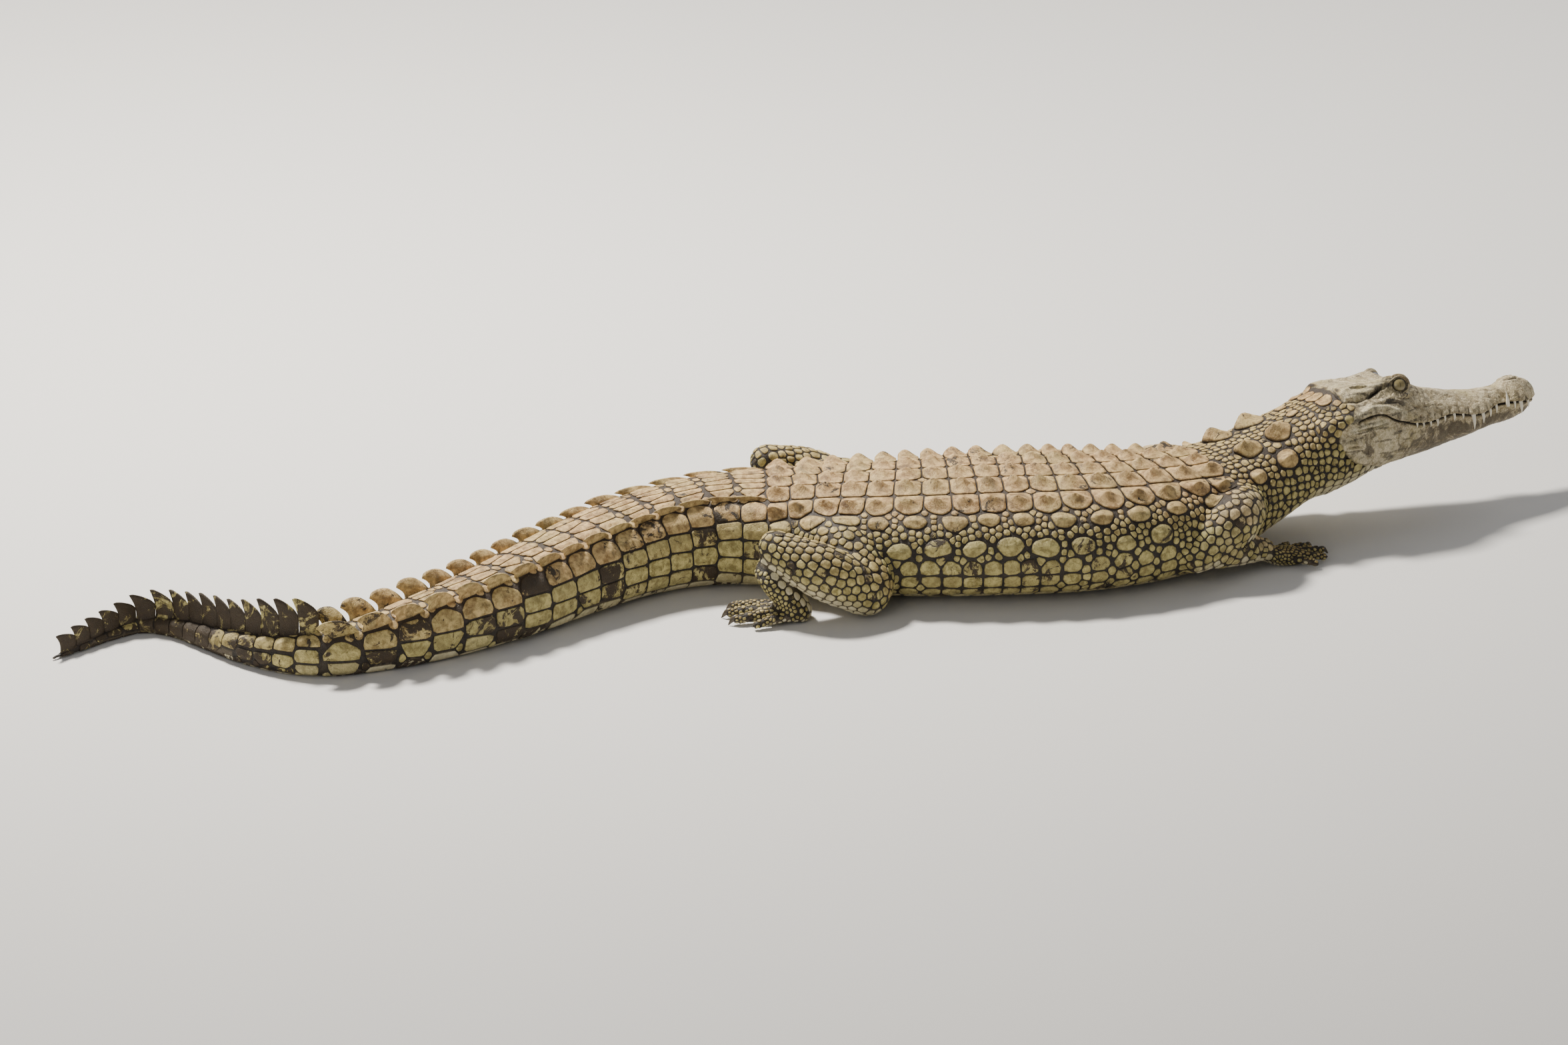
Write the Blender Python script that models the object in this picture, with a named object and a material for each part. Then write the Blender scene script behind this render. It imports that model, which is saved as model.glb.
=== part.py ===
"""Nile crocodile, a subadult of about 2.6 m, lying at rest with its head a little raised.

Metres, +Z up. +X runs toward the head, the animal's right side faces -Y, and the floor is z = 0.
Stations along the body are given by their x ahead of the hips; the tail has negative x.
"""

import math

import bmesh
import bpy
import numpy as np
from mathutils import Matrix, Vector

GAP = 0.0004
CENTRE = (-0.0013, -0.0205)  # middle of the whole animal in plan, seen from the hips

# The trunk axis and its sections: x, y, half width, height of belly and back, roll in degrees.
BODY = (
    (-1.112, -0.378, 0.0030, 0.000, 0.007, 0),
    (-1.080, -0.345, 0.0070, 0.000, 0.014, 0),
    (-1.030, -0.290, 0.0105, 0.000, 0.020, 0),
    (-0.985, -0.256, 0.0130, 0.000, 0.025, 0),
    (-0.930, -0.272, 0.0170, 0.000, 0.031, 0),
    (-0.880, -0.320, 0.0210, 0.000, 0.038, 0),
    (-0.820, -0.380, 0.0260, 0.000, 0.048, 0),
    (-0.760, -0.418, 0.0310, 0.000, 0.057, 0),
    (-0.700, -0.426, 0.0370, 0.000, 0.067, 0),
    (-0.640, -0.404, 0.0440, 0.000, 0.079, 0),
    (-0.550, -0.350, 0.0560, 0.000, 0.096, 0),
    (-0.450, -0.262, 0.0700, 0.000, 0.110, 0),
    (-0.350, -0.150, 0.0810, 0.000, 0.123, 0),
    (-0.250, -0.057, 0.0880, 0.000, 0.136, 0),
    (-0.150, -0.008, 0.0950, 0.000, 0.148, 0),
    (-0.050, 0.008, 0.1180, 0.000, 0.151, 0),
    (0.050, 0.001, 0.1500, 0.000, 0.155, 0),
    (0.150, -0.006, 0.1660, 0.000, 0.162, 0),
    (0.300, 0.003, 0.1750, 0.000, 0.166, 0),
    (0.420, 0.020, 0.1700, 0.000, 0.163, 0),
    (0.520, 0.058, 0.1480, 0.000, 0.156, 0),
    (0.600, 0.108, 0.1200, 0.004, 0.151, 1),
    (0.660, 0.149, 0.1020, 0.022, 0.161, 4),
    (0.724, 0.1925, 0.0970, 0.046, 0.180, 9),
    (0.763, 0.2141, 0.0940, 0.053, 0.194, 12),
)
TAIL_END, HEAD_PLANE = BODY[0][0], BODY[-1][0]
SINGLE_CREST_X, TAIL_HALF_X, TAIL_ROOT_X, NECK_ROOT_X = -0.712, -0.350, -0.050, 0.675
FLANK_SIDES = 22
BELLY_SINK = 0.004  # how far the round belly would pass the floor: it lies flat there
WIDEST = 0.42  # height of the widest line, as a share of the body's height
ROUNDING_BACK, ROUNDING_BELLY = 2.45, 2.7  # superellipse exponents

# Crest: heights of the paired scutes and of the single ones behind them, by station.
PAIR_HEIGHTS = ((-0.720, 0.036), (-0.550, 0.028), (-0.350, 0.015), (-0.200, 0.009), (-0.050, 0.006))
SINGLE_HEIGHTS = ((-1.112, 0.030), (-1.000, 0.040), (-0.900, 0.046), (-0.800, 0.052), (-0.712, 0.062))
PAIR_COUNT, SINGLE_COUNT = 16, 16
PAIR_SPREAD, PAIR_LEAN = 0.56, 24.0  # sideways place as a share of half width; degrees outward
CREST_ROOT, CREST_SHARE = 0.009, 0.90  # depth below the skin; share of the whorl's length
FIN_THICK, BLADE_THICK = 0.008, 0.009
EDGE_THICK, EDGE_TAPER = 0.32, 0.22  # half thickness of the upper edge, and how it thins with height
# A scute from front to rear: place of its root, place of its top, height, as shares.
FIN = ((0.50, 0.48, 0.05), (-0.05, -0.25, 0.96), (-0.50, -0.48, 0.50))
BLADE = ((0.50, 0.44, 0.30), (0.02, -0.28, 0.84), (-0.50, -0.82, 1.00))

# Head, in its own frame: u ahead of the neck, half widths and heights over the jaw's level.
JAW_LEVEL = 0.140
HEAD_LENGTH = 0.395
# u, half width at the lip, half width and height of the cheek, half width and height of the
# upper edge (skull table, brow, snout ridge), height of the midline
HEAD = (
    (0.000, 0.0880, 0.0900, 0.028, 0.0460, 0.0500, 0.0530),
    (0.022, 0.0895, 0.0895, 0.031, 0.0460, 0.0570, 0.0590),
    (0.036, 0.0900, 0.0885, 0.034, 0.0460, 0.0690, 0.0690),
    (0.070, 0.0880, 0.0845, 0.037, 0.0450, 0.0710, 0.0700),
    (0.105, 0.0830, 0.0780, 0.034, 0.0430, 0.0720, 0.0670),
    (0.137, 0.0750, 0.0690, 0.029, 0.0390, 0.0750, 0.0610),
    (0.162, 0.0660, 0.0600, 0.025, 0.0330, 0.0620, 0.0540),
    (0.190, 0.0570, 0.0515, 0.020, 0.0270, 0.0455, 0.0460),
    (0.225, 0.0500, 0.0455, 0.014, 0.0240, 0.0340, 0.0370),
    (0.265, 0.0460, 0.0425, 0.007, 0.0220, 0.0240, 0.0275),
    (0.295, 0.0410, 0.0375, 0.006, 0.0200, 0.0215, 0.0250),
    (0.333, 0.0265, 0.0275, 0.008, 0.0180, 0.0230, 0.0260),
    (0.353, 0.0325, 0.0325, 0.009, 0.0190, 0.0280, 0.0320),
    (0.372, 0.0290, 0.0290, 0.009, 0.0170, 0.0270, 0.0310),
    (0.387, 0.0190, 0.0195, 0.009, 0.0110, 0.0210, 0.0240),
    (0.395, 0.0060, 0.0070, 0.008, 0.0040, 0.0130, 0.0140),
)
# The wavy line of the mouth, with the rise at its corner: u, height.
MOUTH = (
    (0.000, 0.0100), (0.040, 0.0210), (0.062, 0.0270), (0.085, 0.0275), (0.097, 0.0240), (0.106, 0.0180),
    (0.116, 0.0125), (0.131, 0.0075), (0.148, 0.0020), (0.165, -0.0020), (0.190, -0.0030),
    (0.222, 0.0005), (0.280, -0.0085), (0.330, 0.0002), (0.367, -0.0040), (0.395, -0.0020),
)
# Lower jaw: u, half width at the mouth, half width lower down, height of its underside.
JAW = (
    (0.000, 0.0860, 0.0740, -0.086),
    (0.040, 0.0880, 0.0750, -0.077),
    (0.080, 0.0840, 0.0700, -0.065),
    (0.130, 0.0715, 0.0580, -0.0575),
    (0.190, 0.0510, 0.0440, -0.0520),
    (0.250, 0.0390, 0.0370, -0.0425),
    (0.290, 0.0330, 0.0320, -0.0360),
    (0.314, 0.0275, 0.0285, -0.0325),
    (0.337, 0.0325, 0.0285, -0.0300),
    (0.354, 0.0255, 0.0235, -0.0270),
    (0.374, 0.0180, 0.0160, -0.0225),
    (0.386, 0.0080, 0.0070, -0.0150),
)
# Teeth: u and length. The upper ones hang outside the lower jaw, the lower ones stand up.
UPPER_TEETH = (
    (0.371, 0.0090), (0.357, 0.0170), (0.347, 0.0095), (0.314, 0.0100), (0.299, 0.0090),
    (0.284, 0.0130), (0.266, 0.0200), (0.247, 0.0060), (0.231, 0.0085), (0.213, 0.0065),
    (0.198, 0.0090), (0.184, 0.0060), (0.169, 0.0050), (0.155, 0.0050),
)
LOWER_TEETH = ((0.334, 0.0180),)
UPPER_ROOT, LOWER_ROOT = 0.005, 0.006  # how far a tooth reaches into its jaw
UPPER_SLENDER, LOWER_SLENDER = 6.2, 8.3  # whole length over radius
TOOTH_POINT = 0.0006
EYE_PLACE, EYE_RADIUS = (0.143, 0.0395, 0.0590), 0.0145

# Limb girdles in plan (x, y, heading in degrees) and limb joints (ahead, outward, up).
HIPS, SHOULDERS = (0.000, 0.004, 2.0), (0.625, 0.118, 28.0)
THIGH = ((-0.005, 0.070, 0.082, 0.045), (0.058, 0.135, 0.085, 0.047), (0.094, 0.184, 0.049, 0.042))
SHANK = ((0.092, 0.197, 0.043, 0.0395), (0.022, 0.208, 0.079, 0.041), (-0.045, 0.189, 0.110, 0.026))
INSTEP = ((-0.046, 0.187, 0.100, 0.020), (-0.046, 0.196, 0.062, 0.031), (-0.014, 0.204, 0.022, 0.032))
HIND_TOES = (
    ((-0.030, 0.188, 0.012), (-0.105, 0.168, 0.009), 0.0095, True),
    ((-0.025, 0.200, 0.012), (-0.112, 0.197, 0.009), 0.0100, True),
    ((-0.022, 0.212, 0.012), (-0.103, 0.226, 0.009), 0.0095, True),
    ((-0.015, 0.222, 0.012), (-0.075, 0.250, 0.008), 0.0080, False),
)
UPPER_ARM = ((0.010, 0.066, 0.088, 0.041), (-0.040, 0.122, 0.087, 0.041), (-0.112, 0.138, 0.053, 0.032))
FOREARM = ((-0.109, 0.137, 0.052, 0.0275), (-0.050, 0.132, 0.046, 0.027), (0.018, 0.117, 0.031, 0.018))
PALM = ((0.014, 0.116, 0.027, 0.018), (0.042, 0.114, 0.015, 0.025), (0.066, 0.113, 0.010, 0.026))
FRONT_TOES = (
    ((0.056, 0.095, 0.011), (0.087, 0.067, 0.008), 0.0075, True),
    ((0.064, 0.103, 0.011), (0.113, 0.083, 0.008), 0.0080, True),
    ((0.068, 0.113, 0.011), (0.123, 0.109, 0.008), 0.0080, True),
    ((0.064, 0.123, 0.011), (0.112, 0.138, 0.008), 0.0075, False),
    ((0.056, 0.131, 0.011), (0.087, 0.158, 0.008), 0.0070, False),
)
CLAW_LENGTH = 0.017
FOOT_FLATNESS, PALM_FLATNESS = 0.62, 0.60  # thickness over breadth

HIDE_COLOUR, EYE_COLOUR = (0.42, 0.36, 0.22), (0.35, 0.32, 0.20)


def clear_scene():
    for obj in list(bpy.data.objects):
        bpy.data.objects.remove(obj)


def through(rows, at):
    """Values at `at` on a smooth curve through rows of (place, value, value ...)."""
    rows = np.asarray(rows, float)
    place, values = rows[:, 0], rows[:, 1:]
    slope = np.gradient(values, place, axis=0)
    at = np.atleast_1d(np.asarray(at, float))
    i = np.clip(np.searchsorted(place, at, side="right") - 1, 0, len(place) - 2)
    span = (place[i + 1] - place[i])[:, None]
    t = (at - place[i])[:, None] / span
    return (
        values[i] * (1 + 2 * t) * (1 - t) ** 2
        + slope[i] * span * t * (1 - t) ** 2
        + values[i + 1] * t * t * (3 - 2 * t)
        + slope[i + 1] * span * t * t * (t - 1)
    )


def material(name, colour, roughness=0.6):
    made = bpy.data.materials.new(name)
    made.use_nodes = True
    shader = made.node_tree.nodes["Principled BSDF"]
    shader.inputs["Base Color"].default_value = (*colour, 1.0)
    shader.inputs["Roughness"].default_value = roughness
    shader.inputs["Metallic"].default_value = 0.0
    return made


def frame(name, place, heading=0.0, roll=0.0, parent=None):
    """An empty that holds the pieces of one region: +X ahead, then rolled about that axis."""
    empty = bpy.data.objects.new(name, None)
    bpy.context.scene.collection.objects.link(empty)
    turn = Matrix.Rotation(heading, 4, "Z") @ Matrix.Rotation(roll, 4, "X")
    empty.parent = parent
    empty.matrix_local = Matrix.Translation(place) @ turn
    return empty


def piece(name, points, faces, parent, colour=HIDE_COLOUR, helper=False, roughness=0.6):
    """A closed mesh object, smooth where its faces meet at a low angle."""
    mesh = bpy.data.meshes.new(name)
    mesh.from_pydata([tuple(p) for p in points], [], faces)
    shape = bmesh.new()
    shape.from_mesh(mesh)
    bmesh.ops.recalc_face_normals(shape, faces=shape.faces)
    bmesh.ops.triangulate(shape, faces=shape.faces, quad_method="FIXED", ngon_method="BEAUTY")
    shape.to_mesh(mesh)
    shape.free()
    mesh.shade_smooth()
    mesh.set_sharp_from_angle(angle=math.radians(40))
    obj = bpy.data.objects.new(name, mesh)
    bpy.context.scene.collection.objects.link(obj)
    obj.parent = parent
    if helper:
        obj.hide_render = True
        obj.display_type = "WIRE"
    else:
        mesh.materials.append(material(name + "_finish", colour, roughness))
    return obj


def boolean(obj, other, operation):
    modifier = obj.modifiers.new(operation.title(), "BOOLEAN")
    modifier.operation = operation
    modifier.object = other
    modifier.solver = "EXACT"


def tidy_flats(obj):
    """Merges the slivers that a Boolean leaves within one plane."""
    modifier = obj.modifiers.new("Flats", "DECIMATE")
    modifier.decimate_type = "DISSOLVE"
    modifier.angle_limit = math.radians(0.5)


def loft(rings):
    """Points and faces of a closed body through rings of equal count."""
    count = len(rings[0])
    points = np.concatenate(rings)
    faces = []
    for r in range(len(rings) - 1):
        for k in range(count):
            a, b = r * count + k, r * count + (k + 1) % count
            faces.append((a, b, b + count, a + count))
    faces.append(tuple(range(count - 1, -1, -1)))
    faces.append(tuple(range(len(points) - count, len(points))))
    return points, faces


def joined(shapes):
    """Several (points, faces) as one, still separate bodies."""
    points, faces = [], []
    for some_points, some_faces in shapes:
        faces += [tuple(i + len(points) for i in face) for face in some_faces]
        points += list(some_points)
    return points, faces


# Trunk, neck and tail -------------------------------------------------------------------


def body_at(x):
    """Axis point in plan, half width, belly, back, roll and heading at stations x."""
    y, half, belly, back, roll = through(BODY, x).T
    step = 1e-4
    rise = through(BODY, np.asarray(x) + step)[:, 0] - through(BODY, np.asarray(x) - step)[:, 0]
    return y, half, belly, back, np.radians(roll), np.arctan2(rise, 2 * step)


def body_ring(x, sides, grow=0.0):
    """One upright section: a superellipse, widest low down and flat where it lies."""
    y, half, belly, back, roll, heading = (float(v[0]) for v in body_at([x]))
    belly -= BELLY_SINK * max(0.0, 1.0 - belly / 0.02)
    middle = belly + WIDEST * (back - belly)
    angle = 2 * math.pi * (np.arange(sides) + 0.5) / sides
    side, up = np.sin(angle), np.cos(angle)
    power = 2 / np.where(up > 0, ROUNDING_BACK, ROUNDING_BELLY)
    across = (half + grow) * np.sign(side) * np.abs(side) ** power
    height = np.where(up > 0, back - middle + grow, middle - belly + grow)
    height = height * np.sign(up) * np.abs(up) ** power
    left = across * math.cos(roll) + height * math.sin(roll)
    above = middle + height * math.cos(roll) - across * math.sin(roll)
    floor = -1.0 if grow else 0.0
    return np.column_stack(
        [x - left * math.sin(heading), y + left * math.cos(heading), np.maximum(above, floor)]
    )


def stations(start, end, count):
    """x of `count` sections spread evenly along the curved axis."""
    x = np.linspace(start, end, 400)
    y = through(BODY, x)[:, 0]
    run = np.concatenate([[0], np.cumsum(np.hypot(np.diff(x), np.diff(y)))])
    return np.interp(np.linspace(0, run[-1], count), run, x)


def body_loft(x, sides, grow=0.0):
    return loft([body_ring(station, sides, grow) for station in x])


def along(x, shift):
    """Moves station x by a distance along the axis."""
    heading = float(body_at([x])[-1][0])
    return x + shift * math.cos(heading)


def back_point(x, spread):
    """A point on the back at a station, `spread` of the half width to the left."""
    y, half, belly, back, roll, heading = (float(v[0]) for v in body_at([x]))
    middle = belly + WIDEST * (back - belly)
    up = middle + (back - middle) * (1 - abs(spread) ** ROUNDING_BACK) ** (1 / ROUNDING_BACK)
    across = spread * half
    return np.array([x - across * math.sin(heading), y + across * math.cos(heading), up])


def crest_scute(rear, front, height, spread, lean, profile, thick):
    """An upright blade between two stations of the tail, its outline given by `profile`."""
    start, end = back_point(rear, spread), back_point(front, spread)
    middle, span = (start + end) / 2, (end - start) * CREST_SHARE
    ahead = span / np.linalg.norm(span)
    left = np.array([-ahead[1], ahead[0], 0.0])
    tilt = math.radians(lean) * np.sign(spread)
    rise = math.cos(tilt) * np.array([0.0, 0.0, 1.0]) + math.sin(tilt) * left
    wall = math.cos(tilt) * left - math.sin(tilt) * np.array([0.0, 0.0, 1.0])
    rings = []
    for root, top, tall in profile:
        low = middle + root * span - rise * CREST_ROOT
        high = middle + top * span + rise * tall * height
        foot, edge = wall * thick / 2, wall * thick * (EDGE_THICK - EDGE_TAPER * tall)
        rings.append(np.array([low - foot, low + foot, high + edge, high - edge]))
    return loft(rings)


def crest(first, last, count, paired):
    """Scutes in a row between two stations, in pairs or single, ready to join to the tail."""
    edges = stations(first, last, count + 1)
    shapes = []
    for rear, front in zip(edges[:-1], edges[1:]):
        x = (rear + front) / 2
        if paired:
            height = float(through(PAIR_HEIGHTS, x)[0, 0])
            for spread in (-PAIR_SPREAD, PAIR_SPREAD):
                shapes.append(crest_scute(rear, front, height, spread, PAIR_LEAN, FIN, FIN_THICK))
        else:
            height = float(through(SINGLE_HEIGHTS, x)[0, 0])
            thick = min(BLADE_THICK, float(body_at([x])[1][0]))
            shapes.append(crest_scute(rear, front, height, 0.0, 0.0, BLADE, thick))
    return joined(shapes)


def make_body(animal):
    """Tail in three lengths, trunk and neck, with the crest on the tail."""
    half_gap = GAP / 2
    lengths = (
        ("tail_tip", TAIL_END, along(SINGLE_CREST_X, -half_gap), 14, 10),
        ("tail_middle", along(SINGLE_CREST_X, half_gap), along(TAIL_HALF_X, -half_gap), 11, 16),
        ("tail_base", along(TAIL_HALF_X, half_gap), along(TAIL_ROOT_X, -half_gap), 8, FLANK_SIDES),
        ("trunk", along(TAIL_ROOT_X, half_gap), along(NECK_ROOT_X, -half_gap), 18, FLANK_SIDES),
        ("neck", along(NECK_ROOT_X, half_gap), HEAD_PLANE, 5, FLANK_SIDES),
    )
    made, flank = {}, []
    for name, start, end, count, sides in lengths:
        x = stations(start, end, count)
        made[name] = piece(name, *body_loft(x, sides), animal)
        if sides == FLANK_SIDES:
            flank += list(x)
    root = stations(SINGLE_CREST_X, TAIL_ROOT_X, PAIR_COUNT + 1)
    split = int(np.argmin(np.abs(root - TAIL_HALF_X)))
    rows = (
        ("tail_tip", crest(along(TAIL_END, 0.012), along(SINGLE_CREST_X, -0.002), SINGLE_COUNT, False)),
        ("tail_middle", crest(along(root[0], 0.003), along(root[split], -0.003), split, True)),
        ("tail_base", crest(along(root[split], 0.004), root[-2], PAIR_COUNT - split - 1, True)),
    )
    for name, shapes in rows:
        scutes = piece(name + "_crest", *shapes, animal, helper=True)
        boolean(made[name], scutes, "UNION")
        tidy_flats(made[name])
    return piece("flank_clear", *body_loft(flank, FLANK_SIDES, GAP), animal, helper=True)


# Head -----------------------------------------------------------------------------------


def mouth_line(u):
    return float(through(MOUTH, u)[0, 0])


def half_outline(controls, steps):
    """Points on a smooth curve through the control points, `steps` in each stretch."""
    place = np.arange(len(controls), dtype=float)
    rows = np.column_stack([place, np.asarray(controls)])
    at = np.concatenate(
        [np.arange(n) / n + i for i, n in enumerate(steps)] + [[float(len(steps))]]
    )
    return through(rows, at)


def head_ring(u):
    lip, cheek, cheek_up, edge, edge_up, mid_up = (float(v) for v in through(HEAD, u)[0])
    mouth = mouth_line(u)
    controls = (
        (lip * 0.96, mouth), (lip, mouth + 0.25 * (cheek_up - mouth)), (cheek, cheek_up),
        (0.5 * (cheek + edge) + 0.001, 0.5 * (cheek_up + edge_up)), (edge, edge_up),
        (0.5 * edge, 0.5 * (edge_up + mid_up)), (0.0, mid_up),
    )
    right = half_outline(controls, (1, 2, 2, 1, 1, 1))
    palate = np.array([[0.0, mouth]])
    loop = np.concatenate([palate, right * (-1, 1), right[-2::-1]])
    return np.column_stack([np.full(len(loop), u), loop])


def jaw_ring(u):
    lip, low, under = (float(v) for v in through(JAW, u)[0])
    mouth = mouth_line(u) - GAP
    controls = (
        (lip * 0.97, mouth), (lip, mouth - 0.25 * (mouth - under)),
        (low, mouth - 0.72 * (mouth - under)), (0.55 * low, under + 0.03 * (mouth - under)),
        (0.0, under),
    )
    right = half_outline(controls, (1, 2, 2, 1))
    loop = np.concatenate([[[0.0, mouth]], right * (-1, 1), right[-2::-1]])
    return np.column_stack([np.full(len(loop), u), loop])


def tooth(root, tip, radius):
    """A cone of four sides with a blunt point."""
    root, tip = Vector(root), Vector(tip)
    axis = (tip - root).normalized()
    side = axis.cross(Vector((1, 0, 0))).normalized()
    ahead = side.cross(axis)
    turns = [math.pi * k / 2 for k in range(4)]
    spokes = [side * math.cos(t) + ahead * math.sin(t) for t in turns]
    ends = ((root, radius), (tip, TOOTH_POINT))
    return loft([np.array([end + spoke * size for spoke in spokes]) for end, size in ends])


def upper_teeth():
    shapes = []
    for u, length in UPPER_TEETH:
        lip = float(through(HEAD, u)[0, 0])
        mouth = mouth_line(u)
        for side in (-1, 1):
            root = (u, side * (lip - 0.0032), mouth + UPPER_ROOT)
            tip = (u - 0.001, side * (lip + 0.0005), mouth - length)
            shapes.append(tooth(root, tip, (length + UPPER_ROOT) / UPPER_SLENDER))
    return joined(shapes)


def lower_teeth():
    shapes = []
    for u, length in LOWER_TEETH:
        lip = float(through(JAW, u)[0, 0])
        mouth = mouth_line(u)
        for side in (-1, 1):
            root = (u, side * (lip - 0.0010), mouth - LOWER_ROOT)
            tip = (u - 0.001, side * (lip + 0.0015), mouth + length)
            shapes.append(tooth(root, tip, (length + LOWER_ROOT) / LOWER_SLENDER))
    return joined(shapes)


def ball(centre, radius, around, rows):
    """A round body whose poles look sideways, as an eyeball's pupil does."""
    rings = []
    for row in range(rows + 1):
        turn = math.pi * (row + 0.35) / (rows + 0.7)
        ring = [
            (
                centre[0] + radius * math.sin(turn) * math.cos(2 * math.pi * k / around),
                centre[1] + radius * math.cos(turn),
                centre[2] + radius * math.sin(turn) * math.sin(2 * math.pi * k / around),
            )
            for k in range(around)
        ]
        rings.append(np.array(ring))
    return loft(rings)


def make_head(animal):
    """Skull and upper jaw with its teeth, lower jaw with its teeth, and two eyes."""
    y, _, _, _, roll, heading = (float(v[0]) for v in body_at([HEAD_PLANE]))
    place = frame("head_frame", (HEAD_PLANE, y, JAW_LEVEL), heading, -roll, animal)
    u = np.concatenate([[GAP], np.linspace(0.020, 0.378, 18), [0.387, HEAD_LENGTH]])
    head = piece("head", *loft([head_ring(v) for v in u]), place)
    u = np.concatenate([[GAP], np.linspace(0.020, 0.378, 18), [JAW[-1][0]]])
    jaw = piece("lower_jaw", *loft([jaw_ring(v) for v in u]), place)
    boolean(head, piece("upper_teeth", *upper_teeth(), place, helper=True), "UNION")
    boolean(jaw, piece("lower_teeth", *lower_teeth(), place, helper=True), "UNION")
    ahead, out, up = EYE_PLACE
    tidy_flats(head)
    tidy_flats(jaw)
    for name, side in (("eye_right", -1), ("eye_left", 1)):
        centre = (ahead, side * out, up)
        socket = piece(name + "_socket", *ball(centre, EYE_RADIUS + GAP, 12, 6), place, helper=True)
        boolean(head, socket, "DIFFERENCE")
        piece(name, *ball(centre, EYE_RADIUS, 12, 6), place, EYE_COLOUR, roughness=0.2)


# Limbs ----------------------------------------------------------------------------------


def limb(joints, side, sides=10, rings=6, grow=0.0, flat=1.0, ends=((0.80, 0.60), (0.45, 0.89))):
    """A tube through joints of (ahead, outward, up, radius), flattened by `flat`.

    `ends` rounds it with smaller rings past the first and last joint, outermost first.
    """
    rows = [(i, a, side * o, h, r) for i, (a, o, h, r) in enumerate(joints)]
    found = through(rows, np.linspace(0, len(rows) - 1, rings))
    centres, radii = found[:, :3], found[:, 3] + grow
    ways = np.gradient(centres, axis=0)
    ways /= np.linalg.norm(ways, axis=1)[:, None]
    first, last = [], []
    for past, size in ends:
        first.append((centres[0] - ways[0] * past * radii[0], ways[0], radii[0] * size))
        last.insert(0, (centres[-1] + ways[-1] * past * radii[-1], ways[-1], radii[-1] * size))
    floor = -1.0 if grow else 0.0
    turn = 2 * math.pi * (np.arange(sides) + 0.5) / sides
    loops = []
    for centre, way, radius in [*first, *zip(centres, ways, radii), *last]:
        level = np.cross(way, (0.0, 0.0, 1.0))
        level /= np.linalg.norm(level)
        rise = np.cross(level, way)
        loop = centre + radius * (np.outer(np.cos(turn), level) + flat * np.outer(np.sin(turn), rise))
        loop[:, 2] = np.maximum(loop[:, 2], floor)
        loops.append(loop)
    return loft(loops)


def toe(root, tip, radius, side):
    joints = (
        (*root, radius * 1.15),
        ((root[0] + tip[0]) / 2, (root[1] + tip[1]) / 2, root[2] * 0.5 + tip[2] * 0.5 + 0.003, radius),
        (*tip, radius * 0.72),
    )
    return limb(joints, side, sides=6, rings=2, ends=((0.6, 0.7),))


def claw(root, tip, radius, side):
    """A curved horn tip on a toe, its point near the floor."""
    way = Vector(tip) - Vector(root)
    way.z = 0
    way.normalize()
    start = Vector(tip) - way * 0.002
    joints = (
        (*start, radius * 0.50),
        (*(start + way * 0.55 * CLAW_LENGTH + Vector((0, 0, 0.001))), radius * 0.36),
        (*(start + way * CLAW_LENGTH - Vector((0, 0, 0.004))), radius * 0.14),
    )
    return limb(joints, side, sides=4, rings=3, ends=())


def foot(name, sole, toes, side, place, flat):
    """Sole or palm, its toes and their claws, joined into one body."""
    made = piece(name, *limb(sole, side, sides=8, rings=4, flat=flat, ends=((0.7, 0.7),)), place)
    for number, (root, tip, radius, clawed) in enumerate(toes):
        label = f"{name}_toe_{number}"
        boolean(made, piece(label, *toe(root, tip, radius, side), place, helper=True), "UNION")
        if clawed:
            horn = piece(label + "_claw", *claw(root, tip, radius, side), place, helper=True)
            boolean(made, horn, "UNION")
    return made


def make_leg(names, joints, sole, toes, side, place, flat, flank):
    """Upper and lower leg and foot; each is cut clear of what it lies against."""
    upper_joints, lower_joints = joints
    upper = piece(names[0], *limb(upper_joints, side), place)
    lower = piece(names[1], *limb(lower_joints, side), place)
    end = foot(names[2], sole, toes, side, place, flat)
    upper_clear = piece(names[0] + "_clear", *limb(upper_joints, side, grow=GAP), place, helper=True)
    lower_clear = piece(names[1] + "_clear", *limb(lower_joints, side, grow=GAP), place, helper=True)
    for obj, cutters in ((upper, [flank]), (lower, [upper_clear, flank]), (end, [lower_clear, flank])):
        for cutter in cutters:
            boolean(obj, cutter, "DIFFERENCE")
        tidy_flats(obj)


def make_legs(animal, flank):
    hips = frame("hip_frame", (*HIPS[:2], 0.0), math.radians(HIPS[2]), parent=animal)
    shoulders = frame("shoulder_frame", (*SHOULDERS[:2], 0.0), math.radians(SHOULDERS[2]), parent=animal)
    for label, side in (("right", -1), ("left", 1)):
        names = [f"{part}_{label}" for part in ("thigh", "shank", "hind_foot")]
        make_leg(names, (THIGH, SHANK), INSTEP, HIND_TOES, side, hips, FOOT_FLATNESS, flank)
        names = [f"{part}_{label}" for part in ("upper_arm", "forearm", "front_foot")]
        make_leg(names, (UPPER_ARM, FOREARM), PALM, FRONT_TOES, side, shoulders, PALM_FLATNESS, flank)


def main():
    clear_scene()
    animal = frame("crocodile", (-CENTRE[0], -CENTRE[1], 0.0))
    flank = make_body(animal)
    make_head(animal)
    make_legs(animal, flank)


main()
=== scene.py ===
import math

import bmesh
import bpy
import numpy as np
from mathutils import Matrix, Vector, noise
from mathutils.bvhtree import BVHTree
from mathutils.kdtree import KDTree


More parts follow.
